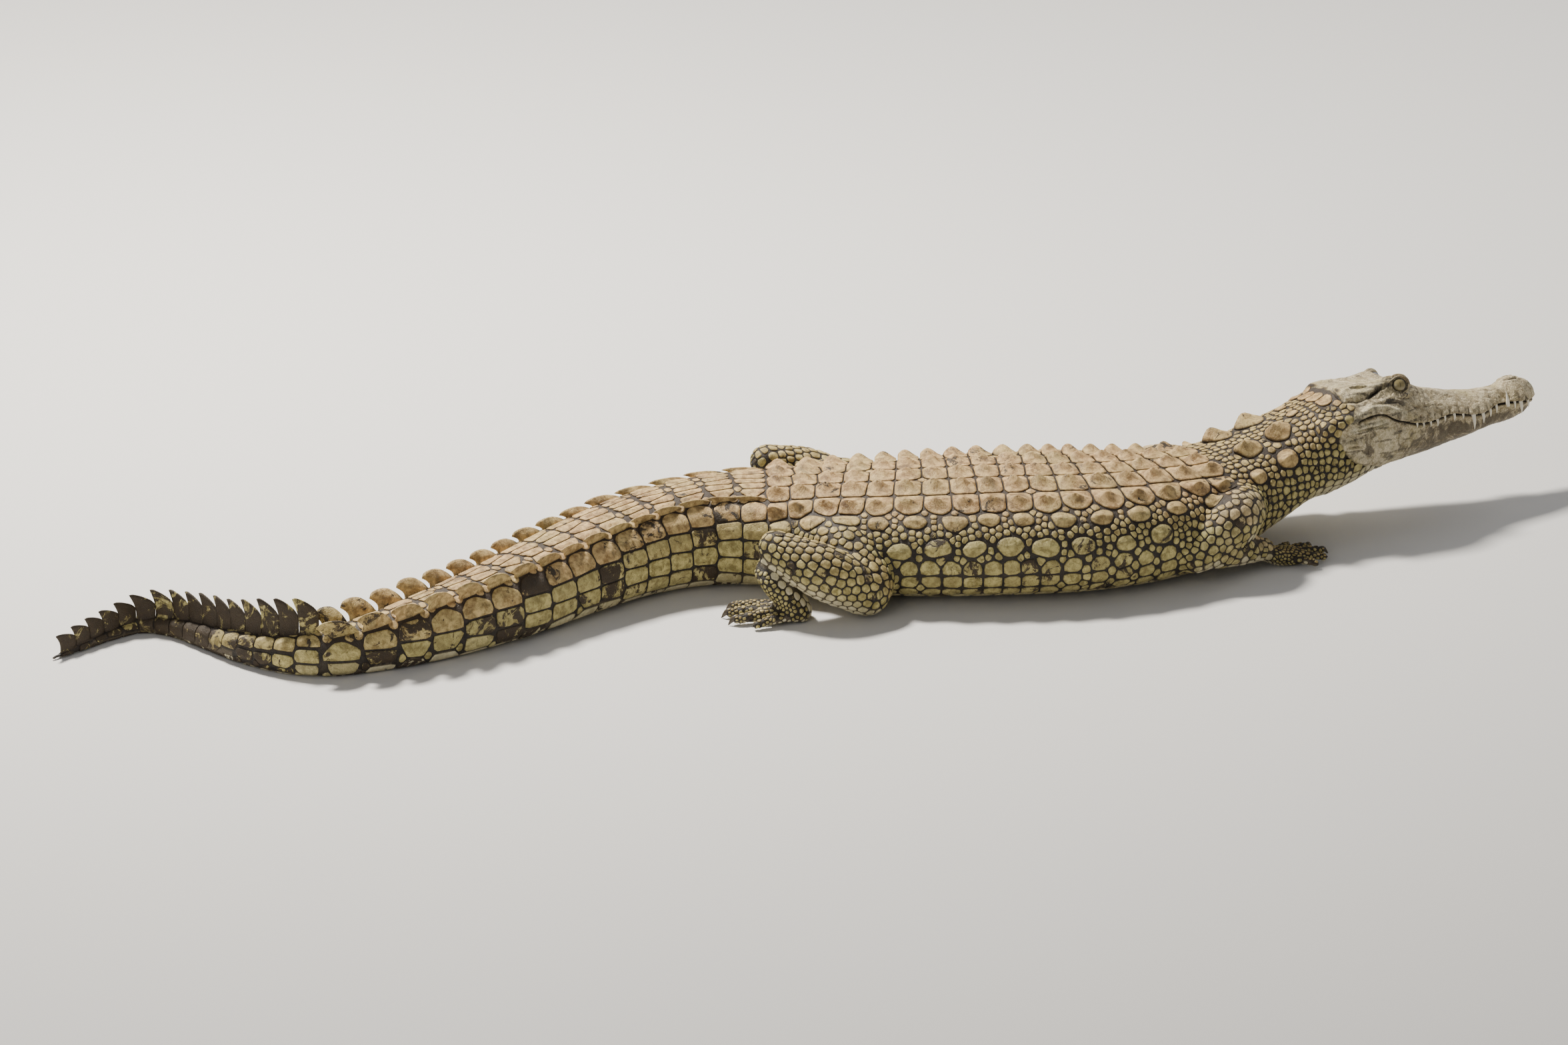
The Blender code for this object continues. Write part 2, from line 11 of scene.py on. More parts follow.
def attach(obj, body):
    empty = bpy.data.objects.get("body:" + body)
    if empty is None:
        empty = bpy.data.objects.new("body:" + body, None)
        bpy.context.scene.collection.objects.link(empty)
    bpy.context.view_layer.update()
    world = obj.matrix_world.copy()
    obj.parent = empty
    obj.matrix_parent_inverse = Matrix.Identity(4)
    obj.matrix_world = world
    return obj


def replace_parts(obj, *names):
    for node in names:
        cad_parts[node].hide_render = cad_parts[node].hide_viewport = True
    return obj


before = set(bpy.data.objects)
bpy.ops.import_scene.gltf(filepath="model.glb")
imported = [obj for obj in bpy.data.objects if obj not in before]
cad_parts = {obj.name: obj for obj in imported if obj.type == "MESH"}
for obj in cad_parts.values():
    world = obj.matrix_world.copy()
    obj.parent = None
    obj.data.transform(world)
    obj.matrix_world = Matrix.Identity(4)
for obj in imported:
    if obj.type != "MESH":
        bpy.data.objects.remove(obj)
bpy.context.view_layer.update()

# Studio -----------------------------------------------------------------------------------
# A plain pale floor under soft lamps, seen through a long lens from the animal's right side
# and a little above. The hips stand over HIPS on the floor.

HIPS = np.array([0.0013, 0.0205, 0.0])
VIEW_ELEVATION = math.radians(20)
VIEW_DISTANCE = 39.2
VIEW_AIM = Vector((HIPS[0] - 0.024, HIPS[1], 0.081))

look = Vector((0.0, math.cos(VIEW_ELEVATION), -math.sin(VIEW_ELEVATION)))
camera_data = bpy.data.cameras.new("long_lens")
camera_data.lens = 600
camera_data.sensor_width = 36
camera_data.clip_start, camera_data.clip_end = 1.0, 200.0
camera = bpy.data.objects.new("long_lens", camera_data)
camera.location = VIEW_AIM - look * VIEW_DISTANCE
camera.rotation_mode = "QUATERNION"
camera.rotation_quaternion = look.to_track_quat("-Z", "Y")
bpy.context.scene.collection.objects.link(camera)
bpy.context.scene.camera = camera


def softbox(name, place, size, power, tint):
    """A square lamp that faces the middle of the animal."""
    data = bpy.data.lights.new(name, "AREA")
    data.size, data.energy, data.color = size, power, tint
    lamp = bpy.data.objects.new(name, data)
    lamp.location = place
    lamp.rotation_mode = "QUATERNION"
    lamp.rotation_quaternion = (-Vector(place)).to_track_quat("-Z", "Y")
    bpy.context.scene.collection.objects.link(lamp)


softbox("lamp_above", (-1.5, 1.5, 3.4), 0.6, 420, (1.0, 0.96, 0.89))
softbox("lamp_side", (-1.6, -3.8, 2.0), 2.6, 34, (1.0, 0.98, 0.96))
softbox("lamp_behind", (2.4, 2.8, 2.0), 2.0, 30, (0.95, 0.97, 1.0))
studio_air = bpy.data.worlds.new("studio_air")
studio_air.use_nodes = True
studio_air.node_tree.nodes["Background"].inputs["Color"].default_value = (0.90, 0.92, 0.95, 1)
studio_air.node_tree.nodes["Background"].inputs["Strength"].default_value = 0.27
bpy.context.scene.world = studio_air


def plain_material(name, colour, roughness):
    made = bpy.data.materials.new(name)
    made.use_nodes = True
    shader = made.node_tree.nodes["Principled BSDF"]
    shader.inputs["Base Color"].default_value = (*colour, 1)
    shader.inputs["Roughness"].default_value = roughness
    return made


FLOOR_HALF = 30.0
floor_mesh = bpy.data.meshes.new("studio_floor")
floor_mesh.from_pydata(
    [(x * FLOOR_HALF, y * FLOOR_HALF, 0.0) for x, y in ((-1, -1), (1, -1), (1, 1), (-1, 1))],
    [],
    [(0, 1, 2, 3)],
)
floor = bpy.data.objects.new("studio_floor", floor_mesh)
floor_mesh.materials.append(plain_material("pale_floor", (0.70, 0.68, 0.65), 0.9))
bpy.context.scene.collection.objects.link(floor)

# Flesh under the skin -----------------------------------------------------------------------
# Muscle and bone of body, legs, head and jaw, as smooth forms that reach into each other. They
# carry the hide, which is drawn over them, and aren't pieces of their own.

# Along the body, from the tail's tip: ahead, left, half width, belly's level, back's level, roll in degrees.
BODY = (
    (-1.112, -0.378, 0.0030, 0.000, 0.007, 0),
    (-1.080, -0.345, 0.0070, 0.000, 0.014, 0),
    (-1.030, -0.290, 0.0105, 0.000, 0.020, 0),
    (-0.985, -0.256, 0.0130, 0.000, 0.025, 0),
    (-0.930, -0.272, 0.0170, 0.000, 0.031, 0),
    (-0.880, -0.320, 0.0210, 0.000, 0.038, 0),
    (-0.820, -0.380, 0.0260, 0.000, 0.048, 0),
    (-0.760, -0.418, 0.0310, 0.000, 0.057, 0),
    (-0.700, -0.426, 0.0370, 0.000, 0.067, 0),
    (-0.640, -0.404, 0.0440, 0.000, 0.079, 0),
    (-0.550, -0.350, 0.0560, 0.000, 0.096, 0),
    (-0.450, -0.262, 0.0700, 0.000, 0.110, 0),
    (-0.350, -0.150, 0.0810, 0.000, 0.123, 0),
    (-0.250, -0.057, 0.0880, 0.000, 0.136, 0),
    (-0.150, -0.008, 0.0950, 0.000, 0.148, 0),
    (-0.050, 0.008, 0.1180, 0.000, 0.151, 0),
    (0.050, 0.001, 0.1500, 0.000, 0.155, 0),
    (0.150, -0.006, 0.1660, 0.000, 0.162, 0),
    (0.300, 0.003, 0.1750, 0.000, 0.166, 0),
    (0.420, 0.020, 0.1700, 0.000, 0.163, 0),
    (0.520, 0.058, 0.1480, 0.000, 0.156, 0),
    (0.600, 0.108, 0.1200, 0.004, 0.151, 1),
    (0.660, 0.149, 0.1020, 0.022, 0.161, 4),
    (0.724, 0.1925, 0.0970, 0.046, 0.180, 9),
    (0.763, 0.2141, 0.0940, 0.053, 0.194, 12),
)
TAIL_END, HEAD_PLANE = BODY[0][0], BODY[-1][0]
SINGLE_CREST_X, TAIL_ROOT_X = -0.712, -0.050
BELLY_SINK, WIDEST = 0.004, 0.42
ROUNDING_BACK, ROUNDING_BELLY = 2.45, 2.7
FLOOR_GAP = 0.0015  # the flesh stays this far over the floor
OUTLINE_STEPS = 241
# The nape goes on under the skull so that the scales of the neck have a surface to follow.
NAPE = (
    (0.800, 0.2346, 0.0920, 0.056, 0.199, 12),
    (0.840, 0.2568, 0.0870, 0.062, 0.204, 12),
)


def through(rows, at):
    """Values at `at` on a smooth curve through rows of (place, value, value ...)."""
    rows = np.asarray(rows, float)
    place, values = rows[:, 0], rows[:, 1:]
    slope = np.gradient(values, place, axis=0)
    at = np.atleast_1d(np.asarray(at, float))
    i = np.clip(np.searchsorted(place, at, side="right") - 1, 0, len(place) - 2)
    span = (place[i + 1] - place[i])[:, None]
    t = (at - place[i])[:, None] / span
    return (
        values[i] * (1 + 2 * t) * (1 - t) ** 2
        + slope[i] * span * t * (1 - t) ** 2
        + values[i + 1] * t * t * (3 - 2 * t)
        + slope[i + 1] * span * t * t * (t - 1)
    )


def body_grid(rows, x, around, sink):
    """Points (station, place round the body, 3) and half girths.

    Place round the body runs from -1, the belly's middle by the right side, over 0 on the
    back to 1, the belly's middle by the left side, in equal steps of surface.
    """
    y, half, belly, back, roll = through(rows, x).T
    step = 1e-4
    rise = through(rows, x + step)[:, 0] - through(rows, x - step)[:, 0]
    heading, roll = np.arctan2(rise, 2 * step), np.radians(roll)
    belly = belly - BELLY_SINK * np.maximum(0.0, 1.0 - belly / 0.02)
    middle = belly + WIDEST * (back - belly)
    depth = np.minimum(sink, 0.2 * half)
    half, top, bottom = half - depth, back - middle - depth, middle - belly - depth
    turn = np.linspace(0, math.pi, OUTLINE_STEPS)[None, :]
    side, up = np.sin(turn), np.cos(turn)
    power = 2 / np.where(up > 0, ROUNDING_BACK, ROUNDING_BELLY)
    across = half[:, None] * np.abs(side) ** power
    height = np.where(up > 0, top[:, None], bottom[:, None]) * np.sign(up) * np.abs(up) ** power
    run = np.concatenate(
        [np.zeros((len(x), 1)), np.cumsum(np.hypot(np.diff(across), np.diff(height)), axis=1)], axis=1
    )
    share = np.linspace(0, 1, around + 1)
    a = np.array([np.interp(share, r / r[-1], v) for r, v in zip(run, across)])
    b = np.array([np.interp(share, r / r[-1], v) for r, v in zip(run, height)])
    a = np.concatenate([-a[:, :0:-1], a], axis=1)
    b = np.concatenate([b[:, :0:-1], b], axis=1)
    cr, sr = np.cos(roll)[:, None], np.sin(roll)[:, None]
    left, above = a * cr + b * sr, middle[:, None] + b * cr - a * sr
    points = np.stack(
        [
            x[:, None] - left * np.sin(heading)[:, None],
            y[:, None] + left * np.cos(heading)[:, None],
            np.maximum(above, FLOOR_GAP),
        ],
        axis=2,
    )
    return points + HIPS, run[:, -1]


def even_stations(rows, start, end, count):
    """Stations with equal steps along the curved axis of the body."""
    x = np.linspace(start, end, 1200)
    y = through(rows, x)[:, 0]
    run = np.concatenate([[0], np.cumsum(np.hypot(np.diff(x), np.diff(y)))])
    return np.interp(np.linspace(0, run[-1], count), run, x)


def tube_faces(rings, around):
    """Faces of a closed body whose points are `rings` loops of `around` points."""
    ring, place = np.meshgrid(np.arange(rings - 1), np.arange(around), indexing="ij")
    a, b = ring * around + place, ring * around + (place + 1) % around
    quads = np.stack([a, b, b + around, a + around], axis=2).reshape(-1, 4)
    faces = [tuple(q) for q in quads.tolist()]
    faces.append(tuple(range(around - 1, -1, -1)))
    faces.append(tuple(range((rings - 1) * around, rings * around)))
    return faces


HIDE_DEPTH = 0.0025
tube_x = even_stations(BODY, TAIL_END, HEAD_PLANE + 0.012, 420)
tube, _ = body_grid(BODY, tube_x, 60, HIDE_DEPTH)
tube = tube[:, 1:]  # both ends of a loop are the belly's middle
forms = {"body": (tube.reshape(-1, 3), tube_faces(len(tube), tube.shape[1]))}

# The hips and shoulders: place on the floor and heading in degrees. Legs: (ahead, outward, up,
# radius) of the joints, from there; toes: root, tip, radius and whether the toe has a claw.
GIRDLES = {"hind": ((0.000, 0.004), 2.0), "front": ((0.625, 0.118), 28.0)}
THIGH = ((-0.005, 0.070, 0.082, 0.045), (0.058, 0.135, 0.085, 0.047), (0.094, 0.184, 0.049, 0.042))
SHANK = ((0.092, 0.197, 0.043, 0.0395), (0.022, 0.208, 0.079, 0.041), (-0.045, 0.189, 0.110, 0.026))
INSTEP = ((-0.046, 0.187, 0.100, 0.020), (-0.046, 0.196, 0.062, 0.031), (-0.014, 0.204, 0.022, 0.032))
HIND_TOES = (
    ((-0.030, 0.188, 0.012), (-0.105, 0.168, 0.009), 0.0095, True),
    ((-0.025, 0.200, 0.012), (-0.112, 0.197, 0.009), 0.0100, True),
    ((-0.022, 0.212, 0.012), (-0.103, 0.226, 0.009), 0.0095, True),
    ((-0.015, 0.222, 0.012), (-0.075, 0.250, 0.008), 0.0080, False),
)
UPPER_ARM = ((0.010, 0.066, 0.088, 0.041), (-0.040, 0.122, 0.087, 0.041), (-0.112, 0.138, 0.053, 0.032))
FOREARM = ((-0.109, 0.137, 0.052, 0.0275), (-0.050, 0.132, 0.046, 0.027), (0.018, 0.117, 0.031, 0.018))
PALM = ((0.014, 0.116, 0.027, 0.018), (0.042, 0.114, 0.015, 0.025), (0.066, 0.113, 0.010, 0.026))
FRONT_TOES = (
    ((0.056, 0.095, 0.011), (0.087, 0.067, 0.008), 0.0075, True),
    ((0.064, 0.103, 0.011), (0.113, 0.083, 0.008), 0.0080, True),
    ((0.068, 0.113, 0.011), (0.123, 0.109, 0.008), 0.0080, True),
    ((0.064, 0.123, 0.011), (0.112, 0.138, 0.008), 0.0075, False),
    ((0.056, 0.131, 0.011), (0.087, 0.158, 0.008), 0.0070, False),
)
ROUND_END = ((0.92, 0.30), (0.80, 0.60), (0.60, 0.80), (0.45, 0.89), (0.2, 0.975))


def girdle_frame(girdle, side):
    """Turns (ahead, outward, up) at the hips or shoulders into world metres."""
    (x, y), heading = GIRDLES[girdle]
    place = Matrix.Translation((HIPS[0] + x, HIPS[1] + y, 0))
    return place @ Matrix.Rotation(math.radians(heading), 4, "Z") @ Matrix.Diagonal((1, side, 1, 1))


def placed(points, matrix):
    turned = np.array(matrix)
    return np.array(points) @ turned[:3, :3].T + turned[:3, 3]


def leg_tube(joints, matrix, sides, rings, flat=1.0, shrink=0.0015):
    """A limb as loops of points (ring, place round it, 3), with rounded ends, and its axis."""
    found = through([(i, *j) for i, j in enumerate(joints)], np.linspace(0, len(joints) - 1, rings))
    centres, radii = found[:, :3], found[:, 3] - shrink
    ways = np.gradient(centres, axis=0)
    ways /= np.linalg.norm(ways, axis=1)[:, None]
    loops, axis = [], []
    rows = [(centres[0] - ways[0] * past * radii[0], ways[0], radii[0] * size) for past, size in ROUND_END]
    rows += list(zip(centres, ways, radii))
    rows += [
        (centres[-1] + ways[-1] * past * radii[-1], ways[-1], radii[-1] * size)
        for past, size in ROUND_END[::-1]
    ]
    turn = 2 * math.pi * (np.arange(sides) + 0.5) / sides
    for centre, way, radius in rows:
        level = np.cross(way, (0.0, 0.0, 1.0))
        level /= np.linalg.norm(level)
        rise = np.cross(level, way)
        loop = centre + radius * (np.outer(np.cos(turn), level) + flat * np.outer(np.sin(turn), rise))
        loop[:, 2] = np.maximum(loop[:, 2], FLOOR_GAP)
        loops.append(loop)
        axis.append(centre)
    return placed(loops, matrix), placed(axis, matrix)


def toe_joints(root, tip, radius):
    middle = [(a + b) / 2 for a, b in zip(root, tip)]
    middle[2] += 0.003
    return (*root, radius * 1.15), (*middle, radius), (*tip, radius * 0.78)


def web_between(first, second, matrix, thick=0.0045, reach=0.62):
    """The fold of skin between two toes, as a thin solid."""
    (root_a, tip_a), (root_b, tip_b) = first[:2], second[:2]
    a, b = Vector(root_a), Vector(root_b)
    end_a, end_b = a.lerp(Vector(tip_a), reach), b.lerp(Vector(tip_b), reach)
    valley = (end_a + end_b) / 2 * 0.7 + (a + b) / 2 * 0.3
    rim = [a, end_a, valley, end_b, b]
    points = [matrix @ (p + Vector((0, 0, z - p.z + 0.006))) for z in (0, thick) for p in rim]
    faces = [(4, 3, 2, 1, 0), (5, 6, 7, 8, 9)] + [(i, (i + 1) % 5, (i + 1) % 5 + 5, i + 5) for i in range(5)]
    return np.array(points), faces


leg_tubes = {}
for side_name, side in (("right", -1), ("left", 1)):
    for girdle, segments, toes in (
        ("hind", (("thigh", THIGH, 1.0), ("shank", SHANK, 1.0), ("foot", INSTEP, 0.62)), HIND_TOES),
        ("front", (("upper", UPPER_ARM, 1.0), ("fore", FOREARM, 1.0), ("foot", PALM, 0.60)), FRONT_TOES),
    ):
        matrix = girdle_frame(girdle, side)
        for segment, joints, flat in segments:
            loops, axis = leg_tube(joints, matrix, 40, 30, flat)
            name = f"{girdle}_{segment}_{side_name}"
            leg_tubes[name] = (loops, axis)
            forms[name] = (loops.reshape(-1, 3), tube_faces(len(loops), 40))
        for number, (root, tip, radius, _) in enumerate(toes):
            loops, axis = leg_tube(toe_joints(root, tip, radius), matrix, 20, 16, 1.0, 0.0005)
            name = f"{girdle}_toe{number}_{side_name}"
            leg_tubes[name] = (loops, axis)
            forms[name] = (loops.reshape(-1, 3), tube_faces(len(loops), 20))
        if girdle == "hind":
            for number in range(3):
                forms[f"web{number}_{side_name}"] = web_between(toes[number], toes[number + 1], matrix)

# Head and jaw in their own frame: ahead of the neck, to the left, over the jaw's level. The rows
# of HEAD give ahead, lip's half width, cheek's half width and level, edge's half width and level
# of the top, and level of its middle; MOUTH gives ahead and level; JAW gives ahead, half width at
# the lip and low down, and the underside's level.
HEAD_AT = np.array([HIPS[0] + HEAD_PLANE, HIPS[1] + BODY[-1][1], 0.140])
HEAD = (
    (0.000, 0.0880, 0.0900, 0.028, 0.0460, 0.0500, 0.0530),
    (0.022, 0.0895, 0.0895, 0.031, 0.0460, 0.0570, 0.0590),
    (0.036, 0.0900, 0.0885, 0.034, 0.0460, 0.0690, 0.0690),
    (0.070, 0.0880, 0.0845, 0.037, 0.0450, 0.0710, 0.0700),
    (0.105, 0.0830, 0.0780, 0.034, 0.0430, 0.0720, 0.0670),
    (0.137, 0.0750, 0.0690, 0.029, 0.0390, 0.0750, 0.0610),
    (0.162, 0.0660, 0.0600, 0.025, 0.0330, 0.0620, 0.0540),
    (0.190, 0.0570, 0.0515, 0.020, 0.0270, 0.0455, 0.0460),
    (0.225, 0.0500, 0.0455, 0.014, 0.0240, 0.0340, 0.0370),
    (0.265, 0.0460, 0.0425, 0.007, 0.0220, 0.0240, 0.0275),
    (0.295, 0.0410, 0.0375, 0.006, 0.0200, 0.0215, 0.0250),
    (0.333, 0.0265, 0.0275, 0.008, 0.0180, 0.0230, 0.0260),
    (0.353, 0.0325, 0.0325, 0.009, 0.0190, 0.0280, 0.0320),
    (0.372, 0.0290, 0.0290, 0.009, 0.0170, 0.0270, 0.0310),
    (0.387, 0.0190, 0.0195, 0.009, 0.0110, 0.0210, 0.0240),
    (0.395, 0.0060, 0.0070, 0.008, 0.0040, 0.0130, 0.0140),
)
MOUTH = (
    (0.000, 0.0100), (0.040, 0.0210), (0.062, 0.0270), (0.085, 0.0275), (0.097, 0.0240), (0.106, 0.0180),
    (0.116, 0.0125), (0.131, 0.0075), (0.148, 0.0020), (0.165, -0.0020), (0.190, -0.0030),
    (0.222, 0.0005), (0.280, -0.0085), (0.330, 0.0002), (0.367, -0.0040), (0.395, -0.0020),
)
JAW = (
    (-0.020, 0.0840, 0.0720, -0.086),
    (0.000, 0.0860, 0.0740, -0.086),
    (0.040, 0.0880, 0.0750, -0.077),
    (0.080, 0.0840, 0.0700, -0.065),
    (0.130, 0.0715, 0.0580, -0.0575),
    (0.190, 0.0510, 0.0440, -0.0520),
    (0.250, 0.0390, 0.0370, -0.0425),
    (0.290, 0.0330, 0.0320, -0.0360),
    (0.314, 0.0275, 0.0285, -0.0325),
    (0.337, 0.0325, 0.0285, -0.0300),
    (0.354, 0.0255, 0.0235, -0.0270),
    (0.374, 0.0180, 0.0160, -0.0225),
    (0.386, 0.0080, 0.0070, -0.0150),
)
LIPS_OVERLAP = 0.003
rise_at_nape = through(BODY, [HEAD_PLANE - 1e-4, HEAD_PLANE + 1e-4])[:, 0]
HEAD_HEADING = math.atan2(rise_at_nape[1] - rise_at_nape[0], 2e-4)
HEAD_ROLL = math.radians(-BODY[-1][5])
head_matrix = (
    Matrix.Translation(Vector(HEAD_AT))
    @ Matrix.Rotation(HEAD_HEADING, 4, "Z")
    @ Matrix.Rotation(HEAD_ROLL, 4, "X")
)
HEAD_TURN = np.array(head_matrix)[:3, :3]


def mouth_line(u):
    return through(MOUTH, np.clip(u, 0.0, MOUTH[-1][0]))[:, 0]


def closed_loop(u, mouth, controls, steps):
    """An outline across the head: a smooth half, with `steps` in each stretch, and its mirror."""
    rows = [(i, *c) for i, c in enumerate(controls)]
    at = np.concatenate([np.arange(n) / n + i for i, n in enumerate(steps)] + [[float(len(steps))]])
    right = through(rows, at)
    loop = np.concatenate([[[0.0, mouth]], right * (-1, 1), right[-2::-1]])
    return np.column_stack([np.full(len(loop), u), loop])


def head_loop(u):
    lip, cheek, cheek_up, edge, edge_up, mid_up = through(HEAD, u)[0]
    mouth = float(mouth_line(u)[0]) - LIPS_OVERLAP
    controls = (
        (lip * 0.96, mouth), (lip, mouth + 0.25 * (cheek_up - mouth)), (cheek, cheek_up),
        (0.5 * (cheek + edge) + 0.001, 0.5 * (cheek_up + edge_up)), (edge, edge_up),
        (0.5 * edge, 0.5 * (edge_up + mid_up)), (0.0, mid_up),
    )
    return closed_loop(u, mouth, controls, (6, 8, 8, 8, 8, 8))


def jaw_loop(u):
    lip, low, under = through(JAW, u)[0]
    mouth = float(mouth_line(u)[0]) + LIPS_OVERLAP
    controls = (
        (lip * 0.97, mouth), (lip, mouth - 0.25 * (mouth - under)),
        (low, mouth - 0.72 * (mouth - under)), (0.55 * low, under + 0.03 * (mouth - under)),
        (0.0, under),
    )
    return closed_loop(u, mouth, controls, (6, 8, 10, 10))


def from_head(points):
    return np.asarray(points) @ HEAD_TURN.T + HEAD_AT


def to_head(points):
    return (np.asarray(points) - HEAD_AT) @ HEAD_TURN


head_points, head_faces = [], []
for name, loop, last in (("skull", head_loop, 0.395), ("jaw", jaw_loop, 0.386)):
    loops = np.array([loop(u) for u in np.linspace(-0.018, last, 190)])
    faces = tube_faces(len(loops), loops.shape[1])
    forms[name] = (from_head(loops.reshape(-1, 3)), faces)
    head_faces += [tuple(i + len(head_points) for i in face) for face in faces]
    head_points += loops.reshape(-1, 3).tolist()
head_surface = BVHTree.FromPolygons(head_points, head_faces)


def drawn_on_head(view, places):
    """A line drawn flat, from the side as (ahead, up) or from above as (ahead, out), laid on the head."""
    laid = []
    for ahead, other in places:
        if view == "side":
            start, way = Vector((ahead, 0.2, other)), Vector((0, -1, 0))
        else:
            start, way = Vector((ahead, other, 0.2)), Vector((0, 0, -1))
        laid.append(tuple(head_surface.ray_cast(start, way)[0]))
    return laid

# Finish of the hide --------------------------------------------------------------------------
# Horn and soft skin carry the same markings: olive horn, dusty tan on the back, cream below and
# dark blotches in bands, with dark soft skin in the grooves between the scales. That groove tone is
# darker than the skin's own colour as painted shade, and it also lies as painted shade on the rims
# of the scales, at the roots of the fins and in the hollows of the face.


def paint(*looks):
    """A colour given as it looks: red, green and blue from 0 to 255."""
    return tuple((c / 255 / 12.92) if c < 11 else ((c / 255 + 0.055) / 1.055) ** 2.4 for c in looks)


class Nodes:
    """A material under construction, with one short call for each kind of node it needs."""

    def __init__(self, name):
        self.material = bpy.data.materials.new(name)
        self.material.use_nodes = True
        self.tree = self.material.node_tree
        self.shader = self.tree.nodes["Principled BSDF"]
        self.place = self.add("ShaderNodeTexCoord").outputs["Object"]

    def add(self, kind, settings=(), **inputs):
        node = self.tree.nodes.new(kind)
        for key, value in dict(settings).items():
            setattr(node, key, value)
        for key, value in inputs.items():
            self.give(node, key.replace("_", " "), value)
        return node

    def give(self, node, key, value):
        socket = node.inputs[int(key) if key.isdigit() else key]
        if isinstance(value, bpy.types.NodeSocket):
            self.tree.links.new(value, socket)
        elif isinstance(value, tuple) and len(value) == 3 and socket.type == "RGBA":
            socket.default_value = (*value, 1)
        else:
            socket.default_value = value

    def mask(self, name):
        return self.add("ShaderNodeAttribute", {"attribute_name": name}).outputs["Fac"]

    def grain(self, scale, detail=4.0, roughness=0.6, distortion=0.0):
        node = self.add(
            "ShaderNodeTexNoise", Vector=self.place, Scale=scale, Detail=detail, Roughness=roughness,
            Distortion=distortion,
        )
        return node.outputs["Fac"]

    def cells(self, scale):
        """Distance to the nearest wall of a network of cells."""
        node = self.add(
            "ShaderNodeTexVoronoi", {"feature": "DISTANCE_TO_EDGE"}, Vector=self.place, Scale=scale
        )
        return node.outputs["Distance"]

    def ramp(self, value, low, high, bottom=0.0, top=1.0):
        node = self.add("ShaderNodeMapRange", {"interpolation_type": "SMOOTHSTEP"}, Value=value)
        for key, number in zip(("From Min", "From Max", "To Min", "To Max"), (low, high, bottom, top)):
            node.inputs[key].default_value = number
        return node.outputs["Result"]

    def sum(self, operation, a, b):
        node = self.tree.nodes.new("ShaderNodeMath")
        node.operation = operation
        self.give(node, "0", a)
        self.give(node, "1", b)
        return node.outputs[0]

    def blend(self, share, first, second, way="MIX"):
        node = self.tree.nodes.new("ShaderNodeMix")
        node.data_type, node.blend_type = "RGBA", way
        self.give(node, "0", share)
        self.give(node, "6", first)
        self.give(node, "7", second)
        return node.outputs[2]


